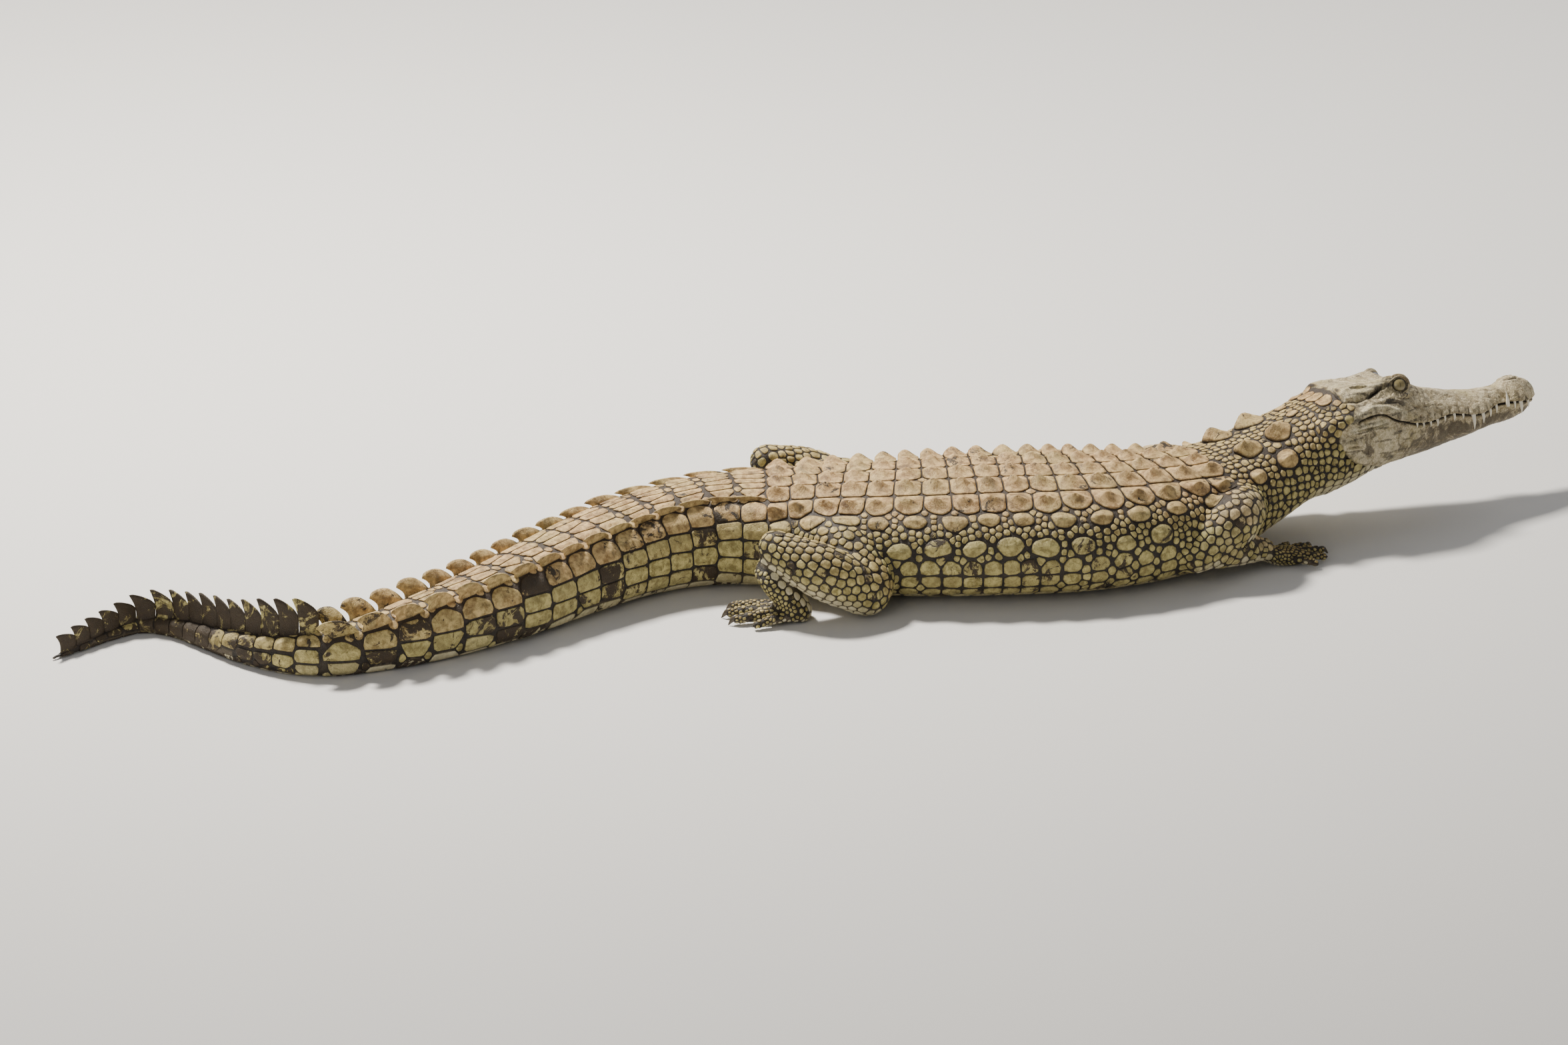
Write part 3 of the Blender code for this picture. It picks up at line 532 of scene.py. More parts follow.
def hide_finish(name, head=False):
    """Colour from the masks kept with the mesh, broken up by grain at several sizes.

    The masks say how dusty, dark and pale a place is; own is one scale's own tone, rise is how
    far a place stands out of the groove, and face is 1 on the bare skin of the head. Where rise is
    low the colour goes over to the dark groove tone, the skin's own dark colour with painted shade
    on it: painted shade at the rims of the scales and the roots of the fins, and in the hollows of the face.
    """
    n = Nodes(name)
    mask = n.add("ShaderNodeAttribute", {"attribute_name": "mask"})
    parts = n.add("ShaderNodeSeparateColor", Color=mask.outputs["Color"])
    dust, dark, pale = (parts.outputs[k] for k in ("Red", "Green", "Blue"))
    own, rise = n.mask("own"), n.mask("rise")
    broad, mottle, fine = n.grain(14, 5), n.grain(95, 6, 0.65, 0.4), n.grain(700, 4, 0.7)
    horn = n.blend(n.ramp(mottle, 0.34, 0.66), paint(132, 120, 68), paint(208, 194, 128))
    other_horn = n.blend(mottle, paint(108, 98, 58), paint(180, 164, 104))
    horn = n.blend(n.ramp(own, 0.0, 1.0, 0.0, 0.5), horn, other_horn)
    dusty = n.blend(n.ramp(mottle, 0.3, 0.7), paint(136, 102, 58), paint(226, 188, 130))
    dusty = n.blend(n.ramp(n.grain(30, 6, 0.7, 0.6), 0.53, 0.66, 0.0, 0.70), dusty, paint(96, 74, 50))
    dust_share = n.sum("MULTIPLY", dust, n.ramp(broad, 0.30, 0.62, 0.62, 1.0))
    colour = n.blend(dust_share, horn, dusty)
    cream = n.blend(n.ramp(mottle, 0.3, 0.7), paint(196, 186, 148), paint(222, 212, 178))
    colour = n.blend(pale, colour, cream)
    blot = n.sum("ADD", n.grain(38, 6, 0.72, 0.8), n.sum("MULTIPLY", n.sum("SUBTRACT", own, 0.5), 0.07))
    inked = n.ramp(n.sum("ADD", n.sum("MULTIPLY", dark, 0.34), blot), 0.67, 0.73)
    colour = n.blend(inked, colour, n.blend(mottle, paint(36, 29, 20), paint(72, 57, 36)))
    # The groove tone: the dark soft skin between the scales, made darker still as painted shade.
    groove_tone_and_shade = n.blend(n.ramp(mottle, 0.35, 0.65), paint(24, 20, 17), paint(48, 41, 33))
    groove_tone_and_shade = n.blend(n.sum("MULTIPLY", dust, 0.35), groove_tone_and_shade, paint(78, 58, 38))
    groove_tone_and_shade = n.blend(n.sum("MULTIPLY", pale, 0.5), groove_tone_and_shade, paint(120, 108, 86))
    if head:
        face = n.mask("face")
        beige = n.blend(n.ramp(mottle, 0.32, 0.68), paint(168, 150, 112), paint(236, 220, 182))
        olive = n.ramp(n.grain(26, 4, 0.6), 0.46, 0.64, 0.0, 0.50)
        beige = n.blend(olive, beige, n.blend(mottle, paint(160, 145, 96), paint(212, 196, 142)))
        pale_beige = n.blend(n.ramp(mottle, 0.3, 0.7), paint(204, 192, 152), paint(242, 232, 200))
        beige = n.blend(pale, beige, pale_beige)
        beige = n.blend(dust, beige, paint(142, 112, 58))
        streaks = n.sum("ADD", n.grain(46, 6, 0.7, 1.2), n.sum("MULTIPLY", dark, 0.24))
        beige = n.blend(n.ramp(streaks, 0.51, 0.68, 0.0, 0.80), beige, paint(74, 66, 54))
        beige = n.blend(n.ramp(n.grain(380, 3, 0.6), 0.34, 0.50, 0.40, 0.0), beige, paint(104, 90, 68))
        smooth_patch = n.ramp(n.grain(40, 3), 0.40, 0.66, 0.0, 0.95)
        lined = n.sum("MAXIMUM", n.ramp(n.cells(330.0), 0.0, 0.10), smooth_patch)
        beige = n.blend(n.ramp(lined, 0.0, 1.0, 0.55, 0.0), beige, paint(88, 74, 54))
        colour = n.blend(face, colour, beige)
        groove_tone_and_shade = n.blend(face, groove_tone_and_shade, paint(40, 34, 27))
    # Where rise is low (scale rims, fin roots, grooves, hollows of the face) the colour goes over to the
    # groove tone: dark skin with painted shade.
    colour = n.blend(n.ramp(rise, 0.12, 0.86), groove_tone_and_shade, colour)
    colour = n.blend(n.ramp(fine, 0.35, 0.65, 0.0, 0.16), colour, paint(70, 62, 50))
    n.give(n.shader, "Base Color", colour)
    n.give(n.shader, "Roughness", n.ramp(fine, 0.3, 0.7, 0.50, 0.74))
    n.give(n.shader, "IOR", 1.45)
    wrinkle = n.ramp(n.cells(260.0), 0.0, 0.12, 0.0, 0.55)
    height = n.sum("ADD", n.sum("MULTIPLY", fine, 0.6), wrinkle)
    height = n.sum("ADD", height, n.sum("MULTIPLY", mottle, 0.8))
    if head:
        height = n.sum("ADD", height, n.sum("MULTIPLY", n.sum("MULTIPLY", lined, face), 0.7))
    bump = n.add("ShaderNodeBump", Strength=0.60, Distance=0.0012, Height=height)
    n.give(n.shader, "Normal", bump.outputs["Normal"])
    return n.material


skin_finish = hide_finish("skin_finish", head=True)
scale_finish = hide_finish("scale_finish")


def keep_number(mesh, name, values):
    mesh.attributes.new(name, "FLOAT", "POINT").data.foreach_set("value", np.asarray(values, np.float32))


def keep_masks(mesh, dust, dark, pale):
    """Keeps how dusty, dark and pale each point is, as one colour."""
    columns = [np.broadcast_to(c, len(mesh.vertices)) for c in (dust, dark, pale, 1.0)]
    kept = mesh.attributes.new("mask", "FLOAT_COLOR", "POINT")
    kept.data.foreach_set("color", np.stack(columns, axis=1).astype(np.float32).ravel())


# Skin -----------------------------------------------------------------------------------------
# The soft hide, one piece over the whole animal, drawn over the flesh and smooth where the legs
# and the neck join. Folds, lids and lips are worked into it; between the scales it shows dark,
# its own dark tone with painted shade on it.

SKIN_GRAIN, COARSE_GRAIN = 0.0030, 0.0045
skin_points, skin_faces = [], []
for some_points, some_faces in forms.values():
    skin_faces += [tuple(i + len(skin_points) for i in face) for face in some_faces]
    skin_points += [tuple(p) for p in some_points]
flesh_mesh = bpy.data.meshes.new("flesh")
flesh_mesh.from_pydata(skin_points, [], skin_faces)
flesh = bpy.data.objects.new("flesh", flesh_mesh)
bpy.context.scene.collection.objects.link(flesh)
drawn_over = flesh.modifiers.new("drawn_over", "REMESH")
drawn_over.mode = "VOXEL"
drawn_over.voxel_size = SKIN_GRAIN
bpy.context.view_layer.update()
skin_mesh = bpy.data.meshes.new_from_object(flesh.evaluated_get(bpy.context.evaluated_depsgraph_get()))
bpy.data.objects.remove(flesh)
skin_mesh.name = "skin"


def rows_of(items, name, width, kind=np.float32):
    """One property of a mesh's points or edges, as rows of numbers."""
    found = np.empty(len(items) * width, kind)
    items.foreach_get(name, found)
    return found.reshape(-1, width)


def vertex_array(mesh):
    return rows_of(mesh.vertices, "co", 3).astype(float)


def normal_array(mesh):
    return rows_of(mesh.vertex_normals, "vector", 3).astype(float)


def set_vertices(mesh, points):
    mesh.vertices.foreach_set("co", np.asarray(points, np.float32).ravel())
    mesh.update()


def relax(mesh, share, times):
    """Draws each point toward the middle of its neighbours by `share`, several times."""
    points, edges = vertex_array(mesh), rows_of(mesh.edges, "vertices", 2, np.int32)
    ends = np.concatenate([edges[:, 0], edges[:, 1]])
    others = np.concatenate([edges[:, 1], edges[:, 0]])
    count = np.maximum(np.bincount(ends, minlength=len(points)), 1)
    share = np.broadcast_to(share, len(points))
    for _ in range(times):
        for axis in range(3):
            total = np.bincount(ends, weights=points[others, axis], minlength=len(points))
            points[:, axis] += share * (total / count - points[:, axis])
    set_vertices(mesh, points)


def smooth_step(value, low, high):
    t = np.clip((value - low) / (high - low), 0, 1)
    return t * t * (3 - 2 * t)


def near(points, place, radius):
    """1 at a place, fading to 0 at the radius."""
    away = np.linalg.norm(points - np.asarray(place), axis=1)
    return 1 - smooth_step(away, 0.35 * radius, radius)


def bell(away, width):
    """1 at no distance, fading smoothly past the width."""
    return np.exp(-((away / width) ** 2))


# Where one form goes over into the next the hide is smoothed more: limb, place and reach.
JOINS = (
    ("hind", THIGH[0], 0.11), ("front", UPPER_ARM[0], 0.10), ("hind", THIGH[2], 0.06),
    ("front", UPPER_ARM[2], 0.05), ("hind", INSTEP[0], 0.05), ("hind", HIND_TOES[1][0], 0.05),
    ("front", PALM[0], 0.04), ("front", PALM[2], 0.045),
)
HEAD_JOIN, HEAD_JOIN_REACH = (-0.005, 0.0, 0.0), 0.13
ALL_OVER, AT_JOINS, RELAX_SHARE = 4, 14, 0.5
relax(skin_mesh, RELAX_SHARE, ALL_OVER)
points = vertex_array(skin_mesh)
joins = near(points, from_head(HEAD_JOIN), HEAD_JOIN_REACH)
for side in (-1, 1):
    for girdle, joint, reach in JOINS:
        joins = np.maximum(joins, near(points, girdle_frame(girdle, side) @ Vector(joint[:3]), reach))
relax(skin_mesh, RELAX_SHARE * joins, AT_JOINS)


def refine(mesh, chosen):
    """Divides every face whose corners are all chosen into four."""
    shape = bmesh.new()
    shape.from_mesh(mesh)
    shape.verts.ensure_lookup_table()
    edges = [e for e in shape.edges if chosen[e.verts[0].index] and chosen[e.verts[1].index]]
    bmesh.ops.subdivide_edges(shape, edges=edges, cuts=1, use_grid_fill=True)
    shape.to_mesh(mesh)
    shape.free()


MOUTH_CORNER = 0.047
EYE_AT = np.array([0.143, 0.0395, 0.0590])
EYE_RADIUS = 0.0145
OPENING_WAY = np.array([-0.186, 0.952, 0.228])
OPENING_WAY /= np.linalg.norm(OPENING_WAY)


def head_places(points):
    """(ahead, out from the midline, up) in the head's frame; both sides fall together."""
    local = to_head(points)
    side = np.sign(local[:, 1])
    local[:, 1] = np.abs(local[:, 1])
    return local, side


# Where the beads of the neck end and the smooth face begins: (up, ahead) up the jaw's rear.
JAW_EDGE = (
    (-0.060, 0.105), (-0.054, 0.084), (-0.049, 0.059), (-0.042, 0.038), (-0.032, 0.025), (-0.016, 0.013),
    (-0.001, 0.008), (0.012, 0.010), (0.020, 0.022), (0.030, 0.032), (0.045, 0.044), (0.050, 0.035),
    (0.057, 0.032), (0.066, 0.033), (0.070, 0.039),
)


def past_jaw_edge(local):
    """How far each place lies ahead of the rear edge of the face."""
    levels, edges = zip(*JAW_EDGE)
    return local[:, 0] - np.interp(local[:, 2], levels, edges)


HEAD_REACH = 0.11


def on_head(local, rear=-0.004):
    return (local[:, 0] > rear) & (local[:, 1] < HEAD_REACH) & (np.abs(local[:, 2]) < HEAD_REACH)


def line_distance(points, line):
    """Distance of each point to a line through several places, and its share along the line."""
    best = np.full(len(points), np.inf)
    where = np.zeros(len(points))
    line = np.asarray(line, float)
    for i, (a, b) in enumerate(zip(line[:-1], line[1:])):
        t = np.clip((points - a) @ (b - a) / ((b - a) @ (b - a)), 0, 1)
        away = np.linalg.norm(points - a - t[:, None] * (b - a), axis=1)
        closer = away < best
        best[closer], where[closer] = away[closer], (i + t[closer]) / (len(line) - 1)
    return best, where


# Folds and ridges of the head, drawn flat and laid on it: half width, height, view and places.
FOLDS = {
    "ear_slit": (0.0024, -0.0054, "above", (
        (0.118, 0.051), (0.105, 0.054), (0.094, 0.058), (0.084, 0.062), (0.076, 0.066),
    )),
    "ear_fold": (0.0022, -0.0020, "above", (
        (0.084, 0.062), (0.066, 0.068), (0.054, 0.070), (0.042, 0.066), (0.035, 0.060),
    )),
    "ear_flap": (0.0062, 0.0031, "above", (
        (0.040, 0.060), (0.056, 0.060), (0.072, 0.059), (0.088, 0.056), (0.106, 0.051),
    )),
    "flap_rim": (0.0030, 0.0014, "above", (
        (0.036, 0.054), (0.046, 0.051), (0.060, 0.046), (0.074, 0.045), (0.086, 0.050), (0.116, 0.049),
    )),
    "flap_groove": (0.0014, -0.0013, "above", ((0.050, 0.049), (0.063, 0.048), (0.083, 0.050))),
    "temple_ridge": (0.0034, 0.0012, "side", (
        (0.078, 0.047), (0.095, 0.045), (0.111, 0.047), (0.124, 0.051),
    )),
    "temple_groove": (0.0018, -0.0008, "side", ((0.069, 0.043), (0.090, 0.042), (0.108, 0.042))),
    "cheek_roll": (0.0058, 0.0036, "side", (
        (0.038, 0.029), (0.054, 0.035), (0.070, 0.039), (0.088, 0.038), (0.102, 0.034), (0.116, 0.027),
        (0.129, 0.021),
    )),
    "jaw_ridge": (0.0028, 0.0020, "side", (
        (0.036, 0.013), (0.051, 0.015), (0.066, 0.015), (0.081, 0.015), (0.094, 0.015),
    )),
    "under_jaw_ridge": (0.0014, -0.0017, "side", (
        (0.036, 0.011), (0.055, 0.011), (0.078, 0.011), (0.098, 0.014),
    )),
    "second_jaw_ridge": (0.0028, 0.0018, "side", (
        (0.036, 0.008), (0.055, 0.007), (0.075, 0.007), (0.093, 0.010), (0.103, 0.013),
    )),
    "under_second_ridge": (0.0016, -0.0012, "side", ((0.030, 0.003), (0.060, 0.002), (0.085, 0.003))),
    "rear_pad": (0.0026, 0.0018, "side", ((0.014, -0.004), (0.030, -0.008), (0.049, -0.010))),
    "rear_pad_groove": (0.0015, -0.0016, "side", ((0.020, -0.011), (0.036, -0.013), (0.050, -0.014))),
    "second_rear_pad": (0.0026, 0.0016, "side", ((0.022, -0.015), (0.036, -0.016), (0.051, -0.018))),
    "jaw_rear": (0.0030, -0.0036, "side", (
        (0.005, 0.011), (0.008, -0.001), (0.013, -0.016), (0.025, -0.032), (0.038, -0.042),
        (0.058, -0.049), (0.084, -0.054),
    )),
    "jaw_roll": (0.0065, 0.0030, "side", (
        (0.019, -0.010), (0.033, -0.029), (0.048, -0.039), (0.072, -0.045),
    )),
    "jaw_spot": (0.0040, -0.0011, "side", ((0.059, -0.025), (0.062, -0.025))),
    "under_eye": (0.0022, -0.0016, "side", ((0.109, 0.042), (0.121, 0.040), (0.133, 0.036))),
    "low_under_eye": (0.0024, -0.0011, "side", ((0.123, 0.034), (0.134, 0.032))),
    "tear_groove": (0.0022, -0.0018, "side", ((0.152, 0.031), (0.158, 0.026), (0.166, 0.023))),
    "lip_groove": (0.0018, -0.0016, "side", ((0.172, 0.023), (0.189, 0.022))),
    "lip_dent": (0.0030, -0.0010, "side", ((0.180, 0.013), (0.196, 0.012))),
    "lower_lid_bag": (0.0026, 0.0014, "side", (
        (0.120, 0.056), (0.132, 0.048), (0.148, 0.045), (0.164, 0.046),
    )),
    "bag_groove": (0.0017, -0.0015, "side", (
        (0.119, 0.050), (0.133, 0.043), (0.150, 0.040), (0.166, 0.041),
    )),
    "skull_rear": (0.0028, -0.0026, "above", (
        (0.038, 0.007), (0.039, 0.022), (0.032, 0.045), (0.032, 0.057), (0.035, 0.065), (0.049, 0.072),
    )),
    "snout_ridge": (0.0050, 0.0014, "above", (
        (0.179, 0.033), (0.203, 0.022), (0.219, 0.026), (0.239, 0.026),
    )),
    "nose_groove": (0.0020, -0.0018, "above", ((0.301, 0.013), (0.313, 0.015), (0.322, 0.019))),
    "notch": (0.0034, -0.0026, "side", ((0.339, 0.010), (0.334, 0.002))),
    "snout_middle": (0.0070, 0.0016, "above", ((0.330, 0.010), (0.262, 0.012), (0.200, 0.014))),
}
# The brow stands over the eye, where neither view shows the head's surface.
BROW = (
    (0.118, 0.037, 0.079), (0.129, 0.041, 0.078), (0.142, 0.046, 0.077), (0.152, 0.050, 0.071),
    (0.162, 0.047, 0.062), (0.167, 0.045, 0.054),
)
BROW_WIDTH, BROW_HEIGHT, FOLD_STRENGTH = 0.0032, 0.0016, 1.5

# Teeth: place ahead, and length.
UPPER_TEETH = (
    (0.371, 0.0090), (0.357, 0.0170), (0.347, 0.0095), (0.314, 0.0100), (0.299, 0.0090),
    (0.284, 0.0130), (0.266, 0.0200), (0.247, 0.0060), (0.231, 0.0085), (0.213, 0.0065),
    (0.198, 0.0090), (0.184, 0.0060), (0.169, 0.0050), (0.155, 0.0050),
)
LOWER_TEETH = ((0.334, 0.0180),)
fold_lines = {name: drawn_on_head(view, places) for name, (_, _, view, places) in FOLDS.items()}
fold_lines["brow"] = BROW

local, _ = head_places(vertex_array(skin_mesh))
refine(skin_mesh, on_head(local))
local, _ = head_places(vertex_array(skin_mesh))
relax(skin_mesh, 0.4 * on_head(local, 0.0), 3)
LIP_BAND, EYE_BAND, FOLD_BAND = 0.007, 0.030, 0.0055
local, _ = head_places(vertex_array(skin_mesh))
lips = (np.abs(local[:, 2] - mouth_line(local[:, 0])) < LIP_BAND) & (local[:, 0] > 0.034)
around_eye = np.linalg.norm(local - EYE_AT, axis=1) < EYE_BAND
sunk = [fold_lines[name] for name, (_, height, _, _) in FOLDS.items() if height < 0]
folded = np.min([line_distance(local, line)[0] for line in sunk], axis=0) < FOLD_BAND
refine(skin_mesh, on_head(local, 0.0) & ((lips & (local[:, 1] > 0.005)) | around_eye | folded))
local, _ = head_places(vertex_array(skin_mesh))
relax(skin_mesh, 0.4 * (np.linalg.norm(local - EYE_AT, axis=1) < EYE_BAND), 2)

points, normals = vertex_array(skin_mesh), normal_array(skin_mesh)
local, side = head_places(points)
on = on_head(local, -0.002)
head_fade = smooth_step(local[:, 0], -0.002, 0.012) * on
# hollow_shade: painted shade, how far the colour of each place is darkened for lying in a fold, a crease, a
# nostril or another hollow of the face.
push, hollow_shade = np.zeros(len(points)), np.zeros(len(points))
worked_lines = [(fold_lines[name], half_width, height) for name, (half_width, height, _, _) in FOLDS.items()]
for line, half_width, height in worked_lines + [(BROW, BROW_WIDTH, BROW_HEIGHT)]:
    away, where = line_distance(local[on], line)
    ends = np.sqrt(np.clip(np.sin(np.pi * np.clip(where, 0.03, 0.97)), 0, 1))
    worked = ends * bell(away, half_width)
    push[on] += FOLD_STRENGTH * height * worked
    if height < 0:
        # Sunk folds are darkened as painted shade.
        hollow_shade[on] = np.maximum(hollow_shade[on], np.clip(-height / 0.0030, 0.3, 1) * worked ** 2.2)

# The lips swell over each tooth and under it, and dip between two teeth.
SWELL, SWELL_OVER, SWELL_UNDER, DIP_DEPTH = 0.0060, 0.0012, 0.0010, 0.0016
for number, (u, length) in enumerate(UPPER_TEETH):
    lip = through(HEAD, u)[0, 0]
    place = np.array([u, lip - 0.001, mouth_line(u)[0] + 0.0065])
    push[on] += (SWELL_OVER + 0.05 * length) * bell(np.linalg.norm(local[on] - place, axis=1), SWELL)
    place = np.array([u - 0.006, lip - 0.002, mouth_line(u - 0.006)[0] - 0.007])
    push[on] += SWELL_UNDER * bell(np.linalg.norm(local[on] - place, axis=1), SWELL)
    if number:
        between_u = (u + UPPER_TEETH[number - 1][0]) / 2
        edge, level = through(HEAD, between_u)[0, 0], mouth_line(between_u)[0]
        dip = ((between_u, edge, level), (between_u + 0.003, edge - 0.002, level + 0.012))
        away, _ = line_distance(local[on], dip)
        push[on] -= DIP_DEPTH * bell(away, 0.0018)
        # Painted shade in the dips between the teeth.
        hollow_shade[on] = np.maximum(hollow_shade[on], 0.6 * bell(away, 0.0014))

# The nose disc with its two closed nostrils, which are slits on its top.
NOSE_AT, NOSE_SIZE = (0.353, 0.0, 0.029), (0.016, 0.017, 0.020)
NOSTRIL = ((0.346, 0.0075, 0), (0.352, 0.0115, 0), (0.360, 0.0125, 0), (0.364, 0.0095, 0))
NOSE_PROUD, NOSTRIL_DEPTH, NOSTRIL_RIM, RIM_AWAY, NOSE_TOP = 0.0030, 0.0034, 0.0014, 0.0042, 0.022
push[on] += NOSE_PROUD * np.exp(-(np.linalg.norm((local[on] - NOSE_AT) / NOSE_SIZE, axis=1) ** 4))
nostril, _ = line_distance(local[on] * (1, 1, 0), NOSTRIL)
nostril = nostril + 0.05 * (local[on][:, 2] < NOSE_TOP)  # far from any place below the top
push[on] -= NOSTRIL_DEPTH * bell(nostril, 0.0017)
# Painted shade in the nostrils.
hollow_shade[on] = np.maximum(hollow_shade[on], bell(nostril, 0.0018))
push[on] += NOSTRIL_RIM * bell(nostril - RIM_AWAY, 0.0018)

# The closed mouth: a deep crease, the lips a little proud of it.
CREASE, LIP_AWAY, LIP_ROLL = 0.0017, 0.0045, 0.0026
CREASE_DEPTH, LIP_PROUD = 0.0048, 0.0009
above = local[:, 2] - mouth_line(local[:, 0])
crease_ends = smooth_step(local[:, 0], MOUTH_CORNER - 0.010, MOUTH_CORNER + 0.004)
outside = smooth_step(local[:, 1], 0.004, 0.012) + (local[:, 0] > 0.375)
crease = bell(above, CREASE) * crease_ends * np.clip(outside, 0, 1)
lip_roll = bell(above - LIP_AWAY, LIP_ROLL) + 0.7 * bell(above + LIP_AWAY, LIP_ROLL)
push += on * (-CREASE_DEPTH * crease + LIP_PROUD * lip_roll * crease_ends)
# Painted shade in the crease of the mouth.
hollow_shade = np.maximum(hollow_shade, on * crease ** 0.7)

# Cracked skin: plates as large as a fingernail on the snout, small and pebbled behind.
DRIFT_FROM = (Vector((9.3, -1.5, -8.0)), Vector((-9.7, 19.1, 3.2)), Vector((4.1, 7.7, -16.0)))
SMALL_PLATE, PLATE_GROWTH, CRACK_WIDTH, CRACK_DEPTH = 0.0062, 0.0035, 0.28, 0.0005
UNEVEN = ((0.0004, 0.010), (0.0010, 0.027))  # height and size of the bumps
WRINKLE, WRINKLE_SIZE = 0.0011, (0.030, 0.030, 0.0052)
cracks = np.zeros(len(points))
for i in np.flatnonzero(on):
    p = local[i]
    size = SMALL_PLATE + PLATE_GROWTH * min(max((p[0] - 0.15) / 0.15, 0.0), 1.0)
    place = Vector((p[0] / size, p[1] * side[i] / size, p[2] / size))
    drift = Vector([noise.noise(place * 0.7 + start) for start in DRIFT_FROM])
    far = noise.voronoi(place + 0.35 * drift)[0]
    cracks[i] = min((far[1] - far[0]) / CRACK_WIDTH, 1.0)
push += on * CRACK_DEPTH * (cracks - 1)
for height, size in UNEVEN:
    push[on] += height * np.array([noise.noise(Vector(p) / size) for p in points[on]])
wrinkled = smooth_step(0.19 - local[:, 0], 0.0, 0.05) * smooth_step(local[:, 1], 0.03, 0.06)
streak = np.array([noise.noise(Vector(p)) for p in local[on] / WRINKLE_SIZE])
push[on] += WRINKLE * wrinkled[on] * streak
# Painted shade in the valleys of the wrinkles.
hollow_shade[on] = np.maximum(hollow_shade[on], 0.55 * wrinkled[on] * smooth_step(-streak, 0.12, 0.45))
points += normals * (push * head_fade)[:, None]

# Lids: the skin inside the opening is drawn in behind the eyeball, and round it lies on it.
# Past is the angle beyond the rim of the opening, in degrees; reach is the distance from the eye.
LID_REACH, LID_BEHIND, LID_SOFTER = 0.0163, 0.0115, 0.0012
OPENING_TURN, OPENING_LONGER = 44.0, 6.5  # half the opening upright, and more along it, in degrees
local, side = head_places(points)
from_eye = local - EYE_AT
reach = np.linalg.norm(from_eye, axis=1)
facing = from_eye @ OPENING_WAY / np.maximum(reach, 1e-6)
turn = np.degrees(np.arccos(np.clip(facing, -1, 1)))
level = np.cross(OPENING_WAY, (0, 0, 1))
level /= np.linalg.norm(level)
long_way = np.abs(from_eye @ level) / np.maximum(reach * np.sin(np.radians(turn)), 1e-6)
past = turn - (OPENING_TURN + OPENING_LONGER * np.clip(long_way, 0, 1) ** 2)
lid = LID_REACH + 0.0010 * bell(past - 5, 4.0) - 0.0007 * bell(past - 15, 3.5)
lid += 0.0007 * bell(past - 23, 4.5) - 0.0005 * bell(past - 32, 4)
upward = (from_eye[:, 2] + 0.35 * from_eye[:, 0]) / np.maximum(reach, 1e-6)
lid += 0.0026 * bell(past - 20, 11) * smooth_step(upward, -0.05, 0.45)
lid -= 0.006 * smooth_step(past, 30, 62)
# Painted shade in the folds of the lids round the eye.
lid_rim_shade = bell(past - 13, 2.5) + 0.8 * bell(past - 1.0, 2.2)
hollow_shade = np.maximum(hollow_shade, (on & (reach < 0.026) & (facing > 0)) * 0.8 * lid_rim_shade)
wider = np.maximum(reach, lid) + LID_SOFTER * np.exp(-np.abs(reach - lid) / LID_SOFTER) * 0.3
wanted = np.where(past < 0, np.minimum(reach, LID_BEHIND), wider)
changed = on & (reach < 0.034) & (facing > -0.2)
local[changed] = EYE_AT + from_eye[changed] / reach[changed, None] * wanted[changed, None]
local[:, 1] *= side
points[changed] = from_head(local[changed])
points[:, 2] = np.maximum(points[:, 2], 0.0006)
set_vertices(skin_mesh, points)
skin_mesh.shade_smooth()


def show(name, mesh, finish):
    """Hangs a finished mesh in the scene as one piece of the animal."""
    mesh.materials.append(finish)
    made = bpy.data.objects.new(name, mesh)
    bpy.context.scene.collection.objects.link(made)
    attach(made, "root")
    return made


skin = show("skin", skin_mesh, skin_finish)
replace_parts(skin, *(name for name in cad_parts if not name.startswith("eye")))

# Plan of the scales --------------------------------------------------------------------------
# Every scale has a root on the skin, a way it points, a size, a height and a keel. Rows run
# across the body in rings, as the bony plates under them do.

LAY, LAY_AROUND = BODY + NAPE, 120  # steps round each half of the body
lay_x = even_stations(LAY, TAIL_END, NAPE[-1][0] - 0.002, 700)
lay_grid, lay_girth = body_grid(LAY, lay_x, LAY_AROUND, HIDE_DEPTH)
lay_ahead = np.gradient(lay_grid, axis=0)
lay_ahead /= np.linalg.norm(lay_ahead, axis=2)[:, :, None] + 1e-12
lay_round = np.gradient(lay_grid, axis=1)
lay_up = np.cross(lay_ahead, lay_round)
lay_up /= np.linalg.norm(lay_up, axis=2)[:, :, None] + 1e-12
skin_tree = BVHTree.FromPolygons(
    [tuple(p) for p in vertex_array(skin_mesh)], [tuple(f.vertices) for f in skin_mesh.polygons]
)
chance = np.random.default_rng(7)
coat = []


def between(grid, row, column):
    """Values of a grid at fractional rows and columns."""
    r, c = np.clip(row, 0, grid.shape[0] - 1.001), np.clip(column, 0, grid.shape[1] - 1.001)
    i, j = r.astype(int), c.astype(int)
    a, b = (r - i)[:, None], (c - j)[:, None]
    near_column = grid[i, j] * (1 - a) + grid[i + 1, j] * a
    far_column = grid[i, j + 1] * (1 - a) + grid[i + 1, j + 1] * a
    return near_column * (1 - b) + far_column * b


def on_body(x, v):
    """Root, outward way and forward way on the body at station x and place v round it."""
    row = np.interp(x, lay_x, np.arange(len(lay_x)))
    column = (np.asarray(v) + 1) * LAY_AROUND
    return tuple(between(g, row, column) for g in (lay_grid, lay_up, lay_ahead))


def girth_at(x):
    return np.interp(x, lay_x, lay_girth)


def mantle_shift(x):
    """The plates of the back lie a little over to the left of the ridge of the rolled body."""
    return 0.050 * smooth_step(x, -0.06, 0.06) * (1 - smooth_step(x, 0.52, 0.64))


MEASURES = ("long", "wide", "dome", "keel", "dust", "dark", "pale")


